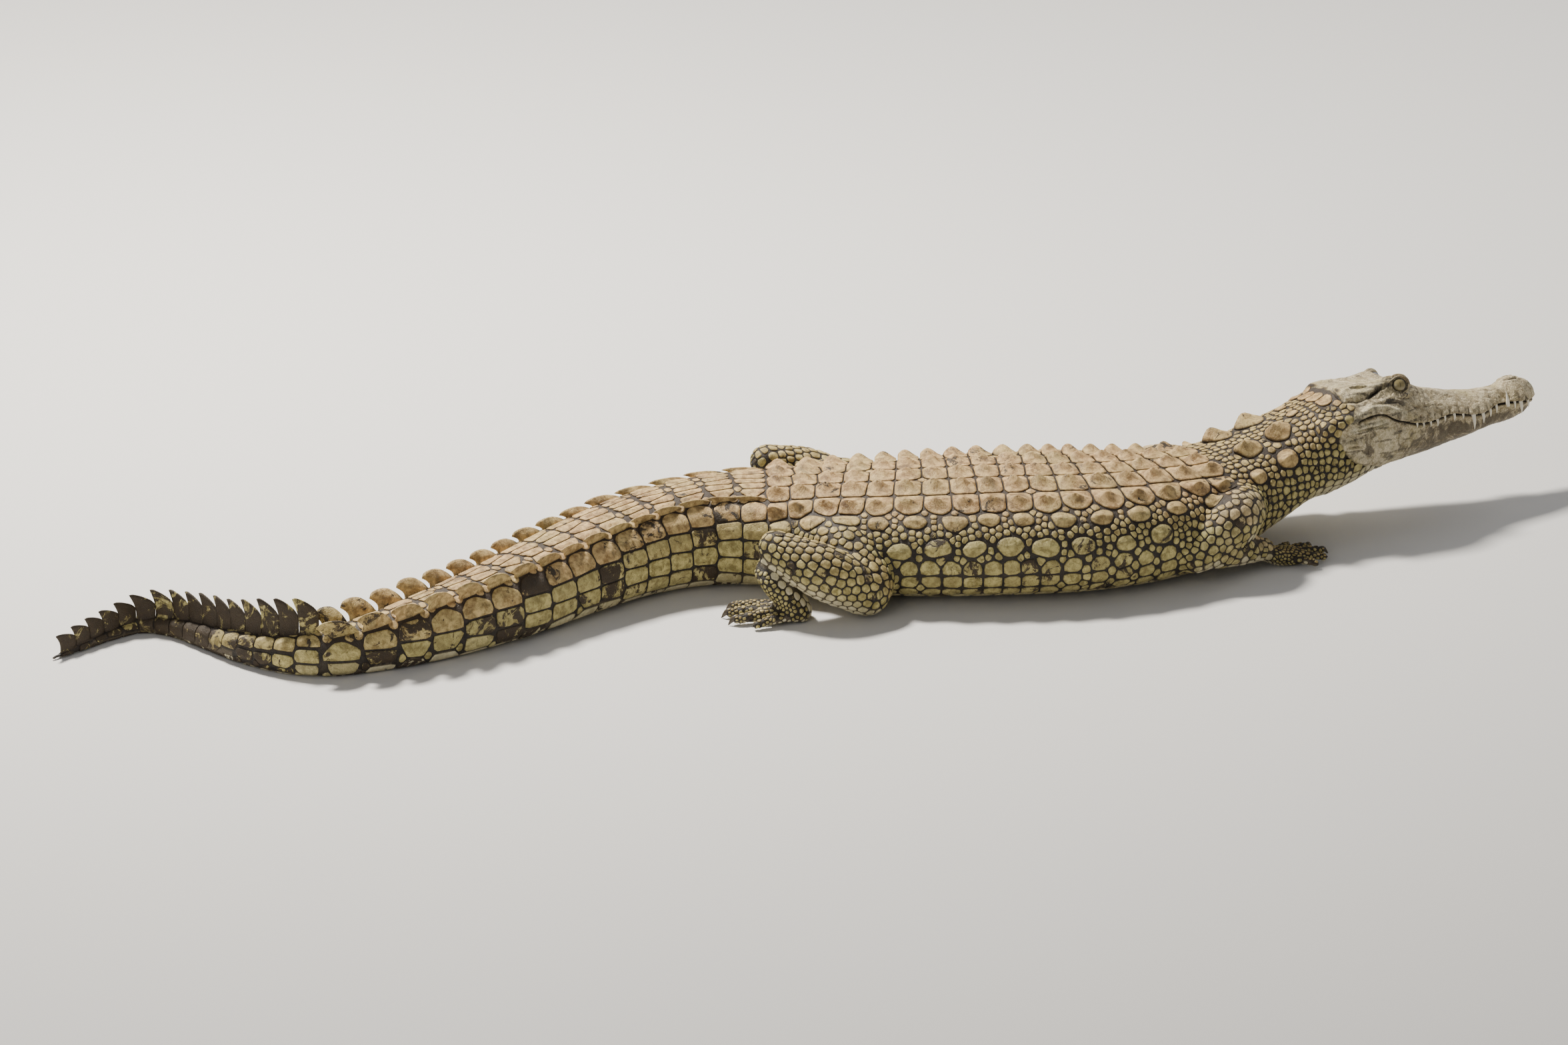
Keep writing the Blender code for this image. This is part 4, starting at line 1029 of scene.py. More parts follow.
def sow(piece, kind, found, *measures):
    """Adds scales: roots, then half length, half width, height, keel and three shares of colour."""
    row = dict(zip(("at", "up", "ahead"), found), piece=piece, kind=kind)
    for key, value in zip(MEASURES, measures):
        row[key] = np.broadcast_to(np.asarray(value, float), len(row["at"])).copy()
    coat.append(row)


def back_dust(x, v):
    return (1 - smooth_step(np.abs(v), 0.26, 0.46)) * (0.30 + 0.70 * smooth_step(x, -0.78, -0.55))


def ring_blotch(x, v):
    """Dark bands over the tail and spots in rows along the flanks."""
    band = 0.5 + 0.5 * np.cos(2 * np.pi * (x + 0.05 * np.sin(9 * v)) / 0.150)
    tail_side = smooth_step(np.abs(v) + smooth_step(-x, 0.6, 0.8), 0.16, 0.34)
    tail = smooth_step(-x, 0.02, 0.20) * (0.25 + 0.75 * tail_side)
    spots = 0.5 + 0.5 * np.cos(2 * np.pi * x / 0.097 + 3 * np.sin(14 * v))
    side = smooth_step(np.abs(v), 0.20, 0.34) * (1 - smooth_step(np.abs(v), 0.72, 0.84))
    end = smooth_step(-x, 0.62, 0.92)
    banded = tail * (0.16 + 0.62 * band ** 2.5) * (1 - 0.6 * end)
    return np.clip(banded + 0.62 * end + 0.45 * (1 - tail) * spots * side, 0, 1)


def rows_on_body(piece, kind, x, v, long, wide, dome, keel=0.0, jitter=0.04, dust=None, dark=None):
    """Adds scales at stations x and places v round the body, a little out of line by chance."""
    x = np.asarray(x, float) + chance.normal(0, 1, len(x)) * long * jitter
    v = np.asarray(v, float) + chance.normal(0, 1, len(x)) * wide * jitter / girth_at(x)
    v = np.where(v > 1, v - 2, np.where(v < -1, v + 2, v))
    sow(
        piece, kind, on_body(x, v), long, wide, dome, keel,
        back_dust(x, v) if dust is None else dust,
        ring_blotch(x, v) if dark is None else dark,
        smooth_step(np.abs(v), 0.60, 0.76),
    )


def rows_on_both_sides(piece, kind, x, v, *measures, shift=0.0, **colours):
    for side in (-1, 1):
        rows_on_body(piece, kind, x, side * v + shift, *measures, **colours)


# Back: six rows of keeled plates. Flanks: two rows of large ovals, then three rows of scales.
# Belly: rows of flat scales. The numbers of a row are half length, half width, height, keel and
# how far a scale may stray, as a share of its size.
WHORL, WHORLS = 0.0387, 17
BACK_ROWS, FLANK_ROWS = (-0.298, -0.180, -0.060, 0.060, 0.180, 0.298), (-0.492, -0.388, 0.388, 0.492)
INNER_WIDE, OUTER_WIDE, FULL_GIRTH = 0.0255, 0.0215, 0.43
back_x = TAIL_ROOT_X + WHORL * (np.arange(WHORLS) + 0.5)
x, row = (a.ravel() for a in np.meshgrid(back_x, np.array(BACK_ROWS)))
half_wide = np.where(np.abs(row) > 0.25, OUTER_WIDE, INNER_WIDE) * np.minimum(1, girth_at(x) / FULL_GIRTH)
rows_on_body(
    "back_scutes", "plate", x, row + mantle_shift(x), 0.0195, half_wide,
    0.0026, 0.0134 - 0.020 * np.abs(np.abs(row) - 0.19), jitter=0.03,
    dark=0.10 + 0.30 * chance.random(len(x)) ** 2,
)
x, row = (a.ravel() for a in np.meshgrid(np.arange(-0.02, 0.60, 0.0485), np.array(FLANK_ROWS)))
x = x + np.where(np.abs(row) > 0.4, 0.024, 0.0)
size = chance.uniform(0.82, 1.10, len(x))
rows_on_body(
    "flank_scales", "oval", x, row + mantle_shift(x), 0.0225 * size, 0.0142 * size, 0.0028, 0.0036,
    jitter=0.12,
)
for row in (0.562, 0.615, 0.668):
    x = np.arange(-0.03, 0.60, 0.0275)
    rows_on_both_sides(
        "flank_scales", "scale", x, row, 0.0132, 0.0112, 0.0018, 0.0, 0.07, shift=mantle_shift(x)
    )
for row in np.arange(0.725, 1.0, 0.058):
    x = np.arange(-0.04, 0.62, 0.0300)
    rows_on_both_sides(
        "belly_scales", "scale", x, row, 0.0148, 0.0122, 0.0012, 0.0, 0.02, shift=mantle_shift(x)
    )

# Tail: rings of oblong scales between the crest and the belly.
axis_x = np.linspace(TAIL_END, TAIL_ROOT_X, 2000)
axis_run = np.concatenate([[0], np.cumsum(np.hypot(np.diff(axis_x), np.diff(through(BODY, axis_x)[:, 0])))])


def run_at(x):
    return np.interp(x, axis_x, axis_run)


PAIR_COUNT, SINGLE_COUNT, PAIR_SPREAD = 16, 16, 0.56
INNER_PITCH, RING_PITCH, HALF_STEPS = 0.020, 0.027, 121
PAIR_CLEAR, SINGLE_CLEAR, LOW_ON_TAIL = 0.012, 0.007, 0.72
pair_edges = even_stations(BODY, SINGLE_CREST_X, TAIL_ROOT_X, PAIR_COUNT + 1)
single_edges = even_stations(BODY, TAIL_END + 0.012, SINGLE_CREST_X - 0.002, SINGLE_COUNT + 1)
crest_place = {}  # how far round the tail the fins of each ring stand
for edges, paired in ((pair_edges, True), (single_edges, False)):
    for rear, front in zip(edges[:-1], edges[1:]):
        x, long = (rear + front) / 2, (run_at(front) - run_at(rear)) / 2
        girth = float(girth_at(x))
        v = np.linspace(0, 1, HALF_STEPS)
        out = on_body(np.full(HALF_STEPS, x), v)[0] - on_body([x], [0.0])[0]
        across = np.linalg.norm(out[:, :2], axis=1)[:HALF_STEPS // 2]
        half = float(through(BODY, x)[0, 1])
        ridge = float(np.interp(PAIR_SPREAD * half, across, v[:HALF_STEPS // 2])) if paired else 0.0
        crest_place[x] = ridge
        inner = max(1, round(ridge * girth / INNER_PITCH)) if paired else 0
        for k in range(inner):
            rows_on_both_sides(
                "tail_scales", "plate", [x], np.array([ridge * (k + 0.5) / inner * 0.88]),
                long, 0.40 * ridge * girth / inner, 0.0018, 0.0018 if x > -0.45 else 0.0005,
            )
        start = ridge + (PAIR_CLEAR if paired else SINGLE_CLEAR) / girth
        count = max(2, round((1 - start) * girth / RING_PITCH))
        for k in range(count):
            place = start + (1 - start) * (k + 0.5) / count
            dome, keel = (0.0014, 0.0) if place > LOW_ON_TAIL else (0.0020, 0.0016)
            rows_on_both_sides(
                "tail_scales", "plate", [x], np.array([place]),
                long, 0.5 * (1 - start) * girth / count, dome, keel, 0.03,
            )

# Neck: four great shields with smaller ones beside and behind the skull, beads round them.
# Station, place round the neck, half length, half width.
SHIELDS = (
    (0.702, -0.150, 0.0265, 0.0270), (0.652, -0.140, 0.0265, 0.0270), (0.700, 0.125, 0.0265, 0.0270),
    (0.650, 0.135, 0.0265, 0.0270), (0.688, -0.345, 0.0180, 0.0165), (0.686, 0.330, 0.0180, 0.0165),
    (0.640, -0.330, 0.0150, 0.0140), (0.640, 0.330, 0.0150, 0.0140),
    (0.738, -0.080, 0.0100, 0.0100), (0.742, 0.085, 0.0100, 0.0100),
)
shields = np.array(SHIELDS)
rows_on_body(
    "neck_scales", "oval", shields[:, 0], shields[:, 1], shields[:, 2], shields[:, 3], 0.0034,
    0.62 * shields[:, 2] * (shields[:, 2] > 0.012), jitter=0.0, dark=0.12, dust=0.8,
)
nape_v = np.array((-0.36, -0.26, -0.155, -0.05, 0.06, 0.17, 0.28, 0.38))
nape_x = np.full(len(nape_v), 0.776)
rows_on_body(
    "neck_scales", "plate", nape_x, nape_v, 0.0105, 0.0125, 0.0026, 0.0020, jitter=0.08, dark=0.10
)


def clear_of(at, margin):
    """True where a root is outside every scale laid so far, with a margin."""
    free = np.ones(len(at), bool)
    for row in coat:
        tested = np.flatnonzero(free)
        reach = np.maximum(row["long"], row["wide"]).max() + margin
        side = np.cross(row["up"], row["ahead"])
        away = at[tested][:, None, :] - row["at"][None]
        near_by = np.linalg.norm(away, axis=2) < reach + 0.02
        a = np.einsum("ijk,jk->ij", away, row["ahead"]) / (row["long"] + margin)
        b = np.einsum("ijk,jk->ij", away, side) / (row["wide"] + margin)
        inside = ((a ** 4 + b ** 4) < 1) & near_by
        free[tested[inside.any(axis=1)]] = False
    return free


def bed(x_start, x_end, v_start, v_end, pitch_x, pitch_v, jitter=0.22):
    """Places in offset rows over part of the body: stations and places round it."""
    x = np.arange(x_start, x_end, pitch_x)
    found = []
    for number, station in enumerate(x):
        step = pitch_v / float(girth_at(station))
        v = np.arange(v_start + (number % 2) * step / 2, v_end, step)
        found.append(np.column_stack([np.full(len(v), station), v]))
    found = np.concatenate(found)
    found[:, 0] += chance.uniform(-jitter, jitter, len(found)) * pitch_x
    found[:, 1] += chance.uniform(-jitter, jitter, len(found)) * pitch_v / girth_at(found[:, 0])
    return found[:, 0], found[:, 1]


def free_places(x, v, margin):
    free = clear_of(on_body(x, v)[0], margin)
    return x[free], v[free]


for side in (-1, 1):
    x, v = bed(-0.06, 0.64, 0.335, 0.545, 0.0098, 0.0108)
    x, v = free_places(x, side * v + mantle_shift(x), 0.0028)
    dark = 0.25 * (chance.random(len(x)) < 0.3)
    rows_on_body("flank_scales", "bead", x, v, 0.0048, 0.0054, 0.0017, 0.0, 0.0, dark=dark)
x, v = free_places(*bed(0.615, 0.835, -0.62, 0.62, 0.0105, 0.0115), 0.0036)
size = chance.uniform(0.8, 1.15, len(x))
dust, dark = 0.55 * (1 - smooth_step(np.abs(v), 0.3, 0.5)), 0.30 * (chance.random(len(x)) < 0.35)
rows_on_body(
    "neck_scales", "bead", x, v, 0.0056 * size, 0.0060 * size, 0.0020, 0.0, 0.0, dust=dust, dark=dark
)
for side in (-1, 1):
    x, v = bed(0.62, 0.835, 0.635, 0.985, 0.0150, 0.0135, 0.05)
    rows_on_body("neck_scales", "scale", x, side * v, 0.0078, 0.0068, 0.0014, 0.0, 0.0, dark=0.0)

# Legs: lozenge scales in slanting rows, smaller toward the feet, beads between the toes.


def on_tube(name, along_share, turn_share):
    """Root, outward way and the way down the limb, at shares of its length and of a turn."""
    loops, axis = leg_tubes[name]
    first, last = len(ROUND_END), len(loops) - len(ROUND_END) - 1
    row = first + np.asarray(along_share) * (last - first)
    wrapped = np.concatenate([loops, loops[:, :1]], axis=1)
    column = (np.asarray(turn_share) % 1.0) * loops.shape[1]
    at = between(wrapped, row, column)
    middle = between(np.repeat(axis[:, None], 2, axis=1), row, np.zeros(len(at)))
    down = np.gradient(axis, axis=0)
    down = between(np.repeat(down[:, None], 2, axis=1), row, np.zeros(len(at)))
    down /= np.linalg.norm(down, axis=1)[:, None]
    up = at - middle
    up -= np.einsum("ij,ij->i", up, down)[:, None] * down
    up /= np.linalg.norm(up, axis=1)[:, None] + 1e-9
    return at, up, -down


# Kind of scale, its piece, pitch along the limb and round it, height and keel, and dust.
LEG_SCALES = {
    "thigh": ("scale", "leg_scales", 0.0190, 0.0165, 0.0017, 0.0008, 0.40),
    "shank": ("scale", "leg_scales", 0.0165, 0.0145, 0.0017, 0.0008, 0.40),
    "upper": ("scale", "leg_scales", 0.0165, 0.0150, 0.0017, 0.0008, 0.85),
    "fore": ("scale", "leg_scales", 0.0135, 0.0120, 0.0017, 0.0008, 0.85),
    "foot": ("bead", "foot_scales", 0.0072, 0.0074, 0.0012, 0.0, 0.40),
    "toe": ("bead", "foot_scales", 0.0062, 0.0070, 0.0012, 0.0, 0.40),
}
leg_rows = []
for name, (loops, axis) in leg_tubes.items():
    segment = name.split("_")[1].rstrip("0123456789")
    kind, piece, pitch, pitch_round, *rest = LEG_SCALES[segment]
    length = np.linalg.norm(np.diff(axis, axis=0), axis=1).sum()
    rows = max(3, round(length / pitch))
    middle_loop = loops[len(loops) // 2]
    around = np.linalg.norm(middle_loop - np.roll(middle_loop, 1, axis=0), axis=1).sum()
    count = max(6, round(around / pitch_round))
    share, turn = np.meshgrid((np.arange(rows) + 0.2) / rows * 1.06, np.arange(count) / count)
    share, turn = share.ravel(), turn.ravel()
    turn = turn + np.round(share * rows) % 2 * 0.5 / count
    share = share + chance.normal(0, 0.08, len(share)) / rows
    turn = turn + chance.normal(0, 0.06, len(share)) / count
    leg_rows.append((kind, piece, on_tube(name, share, turn), length / rows / 2, around / count / 2, *rest))
for kind, piece, found, long, wide, dome, keel, dusty in leg_rows:
    free = clear_of(found[0], 0.45 * wide)
    at, up, ahead = (values[free] for values in found)
    pale = smooth_step(-up[:, 2], 0.25, 0.75)
    dark = np.where(chance.random(len(at)) < 0.16, 0.55, 0.05) * (1 - pale)
    dust = dusty * smooth_step(up[:, 2], 0.0, 0.8)
    # On the front legs the upward faces are painted paler: painted light where the lamp above falls on them.
    pale = np.maximum(pale, 0.25 * (dusty > 0.5) * smooth_step(up[:, 2], -0.2, 0.6))
    sow(piece, kind, (at, up, ahead), long, wide, dome, keel, dust, dark, pale)

# Scales -----------------------------------------------------------------------------------------
# Each scale is a separate horny plate set in the skin. It grows until it meets its
# neighbours, so that only a narrow groove of soft skin is left between two.

ROOT_DEPTH, ROOT_FACING, TOO_CLOSE = 0.0075, 0.3, 0.62
laid = {key: np.concatenate([row[key] for row in coat]) for key in ("at", "up", "ahead", *MEASURES)}
for key, length in (("piece", 16), ("kind", 8)):
    laid[key] = np.concatenate([np.full(len(row["at"]), row[key], dtype=f"U{length}") for row in coat])
nearest = [skin_tree.find_nearest(Vector(p)) for p in laid["at"]]
rooted = np.array([tuple(n[0]) for n in nearest])
kept = np.linalg.norm(rooted - laid["at"], axis=1) < ROOT_DEPTH
facing = np.einsum("ij,ij->i", np.array([tuple(n[1]) for n in nearest]), laid["up"])
kept &= facing > ROOT_FACING
local, _ = head_places(rooted)
kept &= ~on_head(local, -0.01) | (past_jaw_edge(local) < -0.002)
laid["at"] = rooted
laid = {key: value[kept] for key, value in laid.items()}


def tree_of(places):
    tree = KDTree(len(places))
    for i, place in enumerate(places):
        tree.insert(place, i)
    tree.balance()
    return tree


# Of two scales whose roots almost coincide, as where a leg joins the body, the later one goes.
roots = tree_of(laid["at"])
size = np.minimum(laid["long"], laid["wide"])
keep = np.ones(len(size), bool)
for i in range(len(size)):
    if keep[i]:
        for _, j, away in roots.find_range(laid["at"][i], 0.9 * size[i] + 0.008):
            if j > i and away < TOO_CLOSE * (size[i] + size[j]):
                keep[j] = False
laid = {key: value[keep] for key, value in laid.items()}

NEIGHBOURS, CORNER_POWER = 16, 16


def neighbours_of(tree):
    return np.array([[j for _, j, _ in tree.find_n(p, NEIGHBOURS + 1)][1:] for p in laid["at"]])


# Width of the groove round each kind of scale, and how far past its own size it may grow.
GROOVE = {"plate": 0.0017, "oval": 0.0017, "scale": 0.0013, "bead": 0.0011}
OWN_LIMIT = {"plate": 1.70, "oval": 1.06, "scale": 1.30, "bead": 1.25}


def outlines(chosen, spokes, groove, limit):
    """Radius of each chosen scale in each of the spoke directions, and those directions.

    Each scale is a cell: its edge lies where its own size and its neighbour's meet.
    """
    angle = 2 * np.pi * np.arange(spokes) / spokes
    spoke = np.column_stack([np.cos(angle), np.sin(angle)])
    others = nearby[chosen]
    away = laid["at"][others] - laid["at"][chosen][:, None]
    flat = np.stack(
        [np.einsum("ijk,ik->ij", away, laid[key][chosen]) for key in ("ahead", "left")], axis=2
    )
    length = np.maximum(np.linalg.norm(away, axis=2), 1e-6)
    way = flat / np.maximum(np.linalg.norm(flat, axis=2), 1e-6)[:, :, None]

    def reach(long, wide, a, b):
        return 1 / np.sqrt((a / long) ** 2 + (b / wide) ** 2)

    mine = reach(laid["long"][chosen][:, None], laid["wide"][chosen][:, None], way[:, :, 0], way[:, :, 1])
    back = -away / length[:, :, None]
    back = np.stack([np.einsum("ijk,ijk->ij", back, laid[key][others]) for key in ("ahead", "left")], axis=2)
    theirs = reach(laid["long"][others], laid["wide"][others], back[:, :, 0], back[:, :, 1])
    edge = np.maximum(length * mine / (mine + theirs) - groove / 2, 0.25 * mine)
    hidden = np.einsum("ijk,ik->ij", laid["up"][others], laid["up"][chosen]) < -0.2
    edge = np.where(hidden, 1.0, edge)
    toward = np.maximum(np.einsum("ijk,mk->imj", way, spoke), 0)
    own = reach(laid["long"][chosen][:, None], laid["wide"][chosen][:, None], spoke[:, 0], spoke[:, 1])
    walls = (toward / edge[:, None, :]) ** CORNER_POWER
    return (walls.sum(axis=2) + (1 / (limit * own)) ** CORNER_POWER) ** (-1 / CORNER_POWER), spoke


# Wherever skin is still bare, in the folds of the legs and between toes, small scales fill in.
OPEN_TURNS, OPEN_GAP, MOST_FILLED, NEAR_ROOTS = 24, 0.0030, 9000, 6
laid["left"] = np.cross(laid["up"], laid["ahead"])
roots = tree_of(laid["at"])
nearby = neighbours_of(roots)
limits = np.array([OWN_LIMIT[kind] for kind in laid["kind"]])[:, None]
edge_at, _ = outlines(np.arange(len(laid["at"])), OPEN_TURNS, 0.0, limits)
skin_at, skin_up = vertex_array(skin_mesh), normal_array(skin_mesh)
local, _ = head_places(skin_at)
behind_face = ~on_head(local, 0.0) | (past_jaw_edge(local) < -0.004)
bare = np.flatnonzero(behind_face & ((skin_at[:, 2] > 0.003) | (skin_up[:, 2] > -0.3)))
closest = np.array([[j for _, j, _ in roots.find_n(p, NEAR_ROOTS)] for p in skin_at[bare]])
away = skin_at[bare][:, None] - laid["at"][closest]
left, ahead = (np.einsum("ijk,ijk->ij", away, laid[key][closest]) for key in ("left", "ahead"))
spoke_number = np.round(np.arctan2(left, ahead) / (2 * np.pi) * OPEN_TURNS).astype(int) % OPEN_TURNS
gap = (np.linalg.norm(away, axis=2) - edge_at[closest, spoke_number]).min(axis=1)
bare, closest = bare[gap > OPEN_GAP], closest[gap > OPEN_GAP, 0]
reach = np.clip(0.5 * (laid["long"] + laid["wide"])[closest], 0.0030, 0.0062)
filled, filled_reach, chosen = np.zeros((MOST_FILLED, 3)), np.zeros(MOST_FILLED), []
for k in chance.permutation(len(bare)):
    p, count = skin_at[bare[k]], len(chosen)
    apart = 0.92 * (filled_reach[:count] + reach[k])
    if count < MOST_FILLED and not (np.sum((filled[:count] - p) ** 2, axis=1) < apart ** 2).any():
        filled[count], filled_reach[count] = p, reach[k]
        chosen.append(k)
chosen = np.array(chosen)
source = closest[chosen]
added = {key: laid[key][source] for key in ("ahead", "dust", "dark", "pale")}
added["piece"] = np.where(laid["kind"][source] == "bead", "foot_scales", "leg_scales")
added["kind"] = np.where(reach[chosen] > 0.005, "scale", "bead")
added["at"], added["up"] = skin_at[bare[chosen]], skin_up[bare[chosen]]
added["long"] = added["wide"] = reach[chosen]
added["dome"], added["keel"] = np.full(len(chosen), 0.0014), np.zeros(len(chosen))
laid = {key: np.concatenate([laid[key], value]) for key, value in added.items()}
laid["ahead"] -= np.einsum("ij,ij->i", laid["ahead"], laid["up"])[:, None] * laid["up"]
laid["ahead"] /= np.linalg.norm(laid["ahead"], axis=1)[:, None]
laid["left"] = np.cross(laid["up"], laid["ahead"])
laid["own"] = chance.random(len(laid["at"]))
roots = tree_of(laid["at"])

# Each scale's place on an unwrap of the skin: the body is one strip, each length of limb a tile.
STRIP_SCALE, STRIP_LEVEL = 0.384, 0.84  # share of the map's side for each metre; height of the strip
TILE, TILE_STEP, TILES_ACROSS, MARGIN, COARSE = 0.110, 0.122, 8, 0.02, 3
lay_run = np.linalg.norm(np.diff(lay_grid[:, LAY_AROUND], axis=0), axis=1)
lay_run = np.concatenate([[0], np.cumsum(lay_run)])[::COARSE]
strip_run, strip_round = np.meshgrid(lay_run, np.linspace(-1, 1, 2 * LAY_AROUND + 1)[::COARSE], indexing="ij")
strip_round = STRIP_LEVEL + STRIP_SCALE * strip_round * lay_girth[::COARSE, None]
strip = np.stack([MARGIN + STRIP_SCALE * strip_run, strip_round], axis=2)
chart_at, chart = [lay_grid[::COARSE, ::COARSE].reshape(-1, 3)], [strip.reshape(-1, 2)]
for number, (loops, axis) in enumerate(leg_tubes.values()):
    corner = MARGIN + TILE_STEP * np.array(divmod(number, TILES_ACROSS)[::-1])
    down, across = (np.linspace(0, 1, count) for count in loops.shape[:2])
    down, across = np.meshgrid(down, across, indexing="ij")
    chart_at.append(loops.reshape(-1, 3))
    chart.append((corner + TILE * np.stack([down, across], axis=2)).reshape(-1, 2))
charted, chart = tree_of(np.concatenate(chart_at)), np.concatenate(chart)
laid["chart"] = chart[[charted.find(p)[1] for p in laid["at"]]]
PATCH = {"plate": 0.0045, "oval": 0.0040, "scale": 0.0030, "bead": 0.0030}

# Each kind of scale: how many spokes, and its rings from the rim in, as share of the outline and
# share of the height. The first ring is the foot, below the surface of the skin.
nearby = neighbours_of(roots)
FOOT = 0.0012
SPOKES = {"plate": 24, "oval": 20, "scale": 12, "bead": 8}
RINGS = {
    "plate": ((1.0, -0.6), (0.985, 0.62), (0.95, 0.88), (0.82, 0.97), (0.60, 1.0), (0.40, 1.0), (0.20, 1.0)),
    "oval": ((1.0, -0.6), (0.975, 0.42), (0.90, 0.76), (0.76, 0.93), (0.50, 1.0), (0.25, 1.0)),
    "scale": ((1.0, -0.6), (0.97, 0.50), (0.84, 0.88), (0.50, 1.0)),
    "bead": ((1.0, -0.6), (0.92, 0.60), (0.60, 0.95)),
}


def scale_places(kind, chosen, radius, spoke):
    """Points of the chosen scales, each one's points in its own plane, and the share of height."""
    rings, spokes = RINGS[kind], SPOKES[kind]
    shares = np.array([r[0] for r in rings] + [0.0])
    levels = np.array([r[1] for r in rings] + [1.0])
    flat = radius[:, None, :, None] * shares[None, :-1, None, None] * spoke[None, None]
    flat = np.concatenate([flat.reshape(len(chosen), -1, 2), np.zeros((len(chosen), 1, 2))], axis=1)
    ring_of = np.concatenate([np.repeat(np.arange(len(rings)), spokes), [len(rings)]])
    level, low = levels[ring_of][None], np.where(ring_of == 0, 0.0, 1.0)[None]
    a = flat[:, :, 0] / laid["long"][chosen][:, None]
    b = flat[:, :, 1] / laid["wide"][chosen][:, None]
    dome, keel = laid["dome"][chosen][:, None], laid["keel"][chosen][:, None]
    crest = np.maximum(0, 1 - np.abs(b) / 0.80) ** 1.5
    profile = bell(a + 0.22, 0.72)
    height = level * (FOOT * (1 - low) + dome * low)
    height = height + low * (keel * crest * profile * level + 0.12 * dome * -a)
    base = (
        laid["at"][chosen][:, None]
        + flat[:, :, :1] * laid["ahead"][chosen][:, None]
        + flat[:, :, 1:] * laid["left"][chosen][:, None]
    ).reshape(-1, 3)
    found = np.array([tuple(skin_tree.find_nearest(Vector(p))[0]) for p in base])
    made = found + np.repeat(laid["up"][chosen], flat.shape[1], axis=0) * height.reshape(-1, 1)
    made[:, 2] = np.maximum(made[:, 2], 0.0)
    return made, flat, np.clip(levels[ring_of], 0, 1) * np.where(ring_of == 0, 0, 1)


def scale_faces(rings, spokes):
    """Faces of one scale: bands of four-sided faces, a fan on top and one face below."""
    k = np.arange(spokes)
    following = (k + 1) % spokes
    bands = []
    for start in spokes * np.arange(rings - 1):
        corners = (start + k, start + following, start + spokes + following, start + spokes + k)
        bands.append(np.stack(corners, axis=1))
    top = (rings - 1) * spokes
    fan = np.stack([top + k, top + following, np.full(spokes, rings * spokes)], axis=1)
    return np.concatenate(bands), fan, k[::-1][None]


def make_scales(piece_name):
    """One mesh of all the scales of a piece."""
    points, loops, sizes, rises, masks, owns, patches, count = [], [], [], [], [], [], [], 0
    for kind, spokes in SPOKES.items():
        chosen = np.flatnonzero((laid["piece"] == piece_name) & (laid["kind"] == kind))
        if not len(chosen):
            continue
        radius, spoke = outlines(chosen, spokes, GROOVE[kind], OWN_LIMIT[kind])
        made, flat, rise = scale_places(kind, chosen, radius, spoke)
        per = flat.shape[1]
        first = count + np.arange(len(chosen))[:, None] * per
        for faces in scale_faces(len(RINGS[kind]), spokes):
            all_faces = (first[:, :, None] + faces[None]).reshape(-1, faces.shape[1])
            loops.append(all_faces.ravel())
            sizes.append(np.full(len(all_faces), faces.shape[1]))
        count += len(made)
        points.append(made)
        rises.append(np.tile(rise, len(chosen)))
        colours = np.column_stack([laid[key][chosen] for key in ("dust", "dark", "pale")])
        masks.append(np.repeat(colours, per, axis=0))
        owns.append(np.repeat(laid["own"][chosen], per))
        patch = flat / radius.max(axis=1)[:, None, None] * PATCH[kind] / 2
        patches.append((laid["chart"][chosen][:, None] + patch).reshape(-1, 2))
    mesh = bpy.data.meshes.new(piece_name)
    points, loops, sizes = np.concatenate(points), np.concatenate(loops), np.concatenate(sizes)
    mesh.vertices.add(len(points))
    mesh.vertices.foreach_set("co", points.astype(np.float32).ravel())
    mesh.loops.add(len(loops))
    mesh.loops.foreach_set("vertex_index", loops.astype(np.int32))
    mesh.polygons.add(len(sizes))
    mesh.polygons.foreach_set("loop_start", (np.cumsum(sizes) - sizes).astype(np.int32))
    mesh.polygons.foreach_set("loop_total", sizes.astype(np.int32))
    mesh.update(calc_edges=True)
    mesh.shade_smooth()
    bake_map = mesh.uv_layers.new(name="OFBake")
    bake_map.data.foreach_set("uv", np.concatenate(patches)[loops].astype(np.float32).ravel())
    # The low rise at the rim of each scale darkens it toward the groove tone: painted shade at the edges of
    # the scales.
    keep_number(mesh, "rise", np.concatenate(rises))
    keep_number(mesh, "own", np.concatenate(owns))
    keep_masks(mesh, *np.concatenate(masks).T)
    show(piece_name, mesh, scale_finish)


for area in ("back_scutes", "flank_scales", "belly_scales", "neck_scales", "tail_scales", "leg_scales",
             "foot_scales"):
    make_scales(area)

# Masks of the skin itself: behind the face, those of the scales that stand on it.
over = np.array([roots.find(p)[1] for p in skin_at])
local, _ = head_places(skin_at)
face = smooth_step(past_jaw_edge(local), -0.002, 0.004) * on_head(local, 0.0)
# On the face rise is lowered in the hollows, which take the dark groove tone as painted shade, and along the
# cracks, the skin's own dark lines.
plain_face = (1 - 0.96 * np.clip(hollow_shade, 0, 1)) * (0.66 + 0.34 * cracks)
keep_number(skin_mesh, "rise", np.where(face > 0.02, (0.05 + 0.95 * face) * plain_face, 0.05))
keep_number(skin_mesh, "face", face)
keep_number(skin_mesh, "own", np.full(len(skin_at), 0.5))


def beside(name, width):
    """1 along a fold of the face, fading past the width."""
    return bell(line_distance(local, fold_lines[name])[0], width)


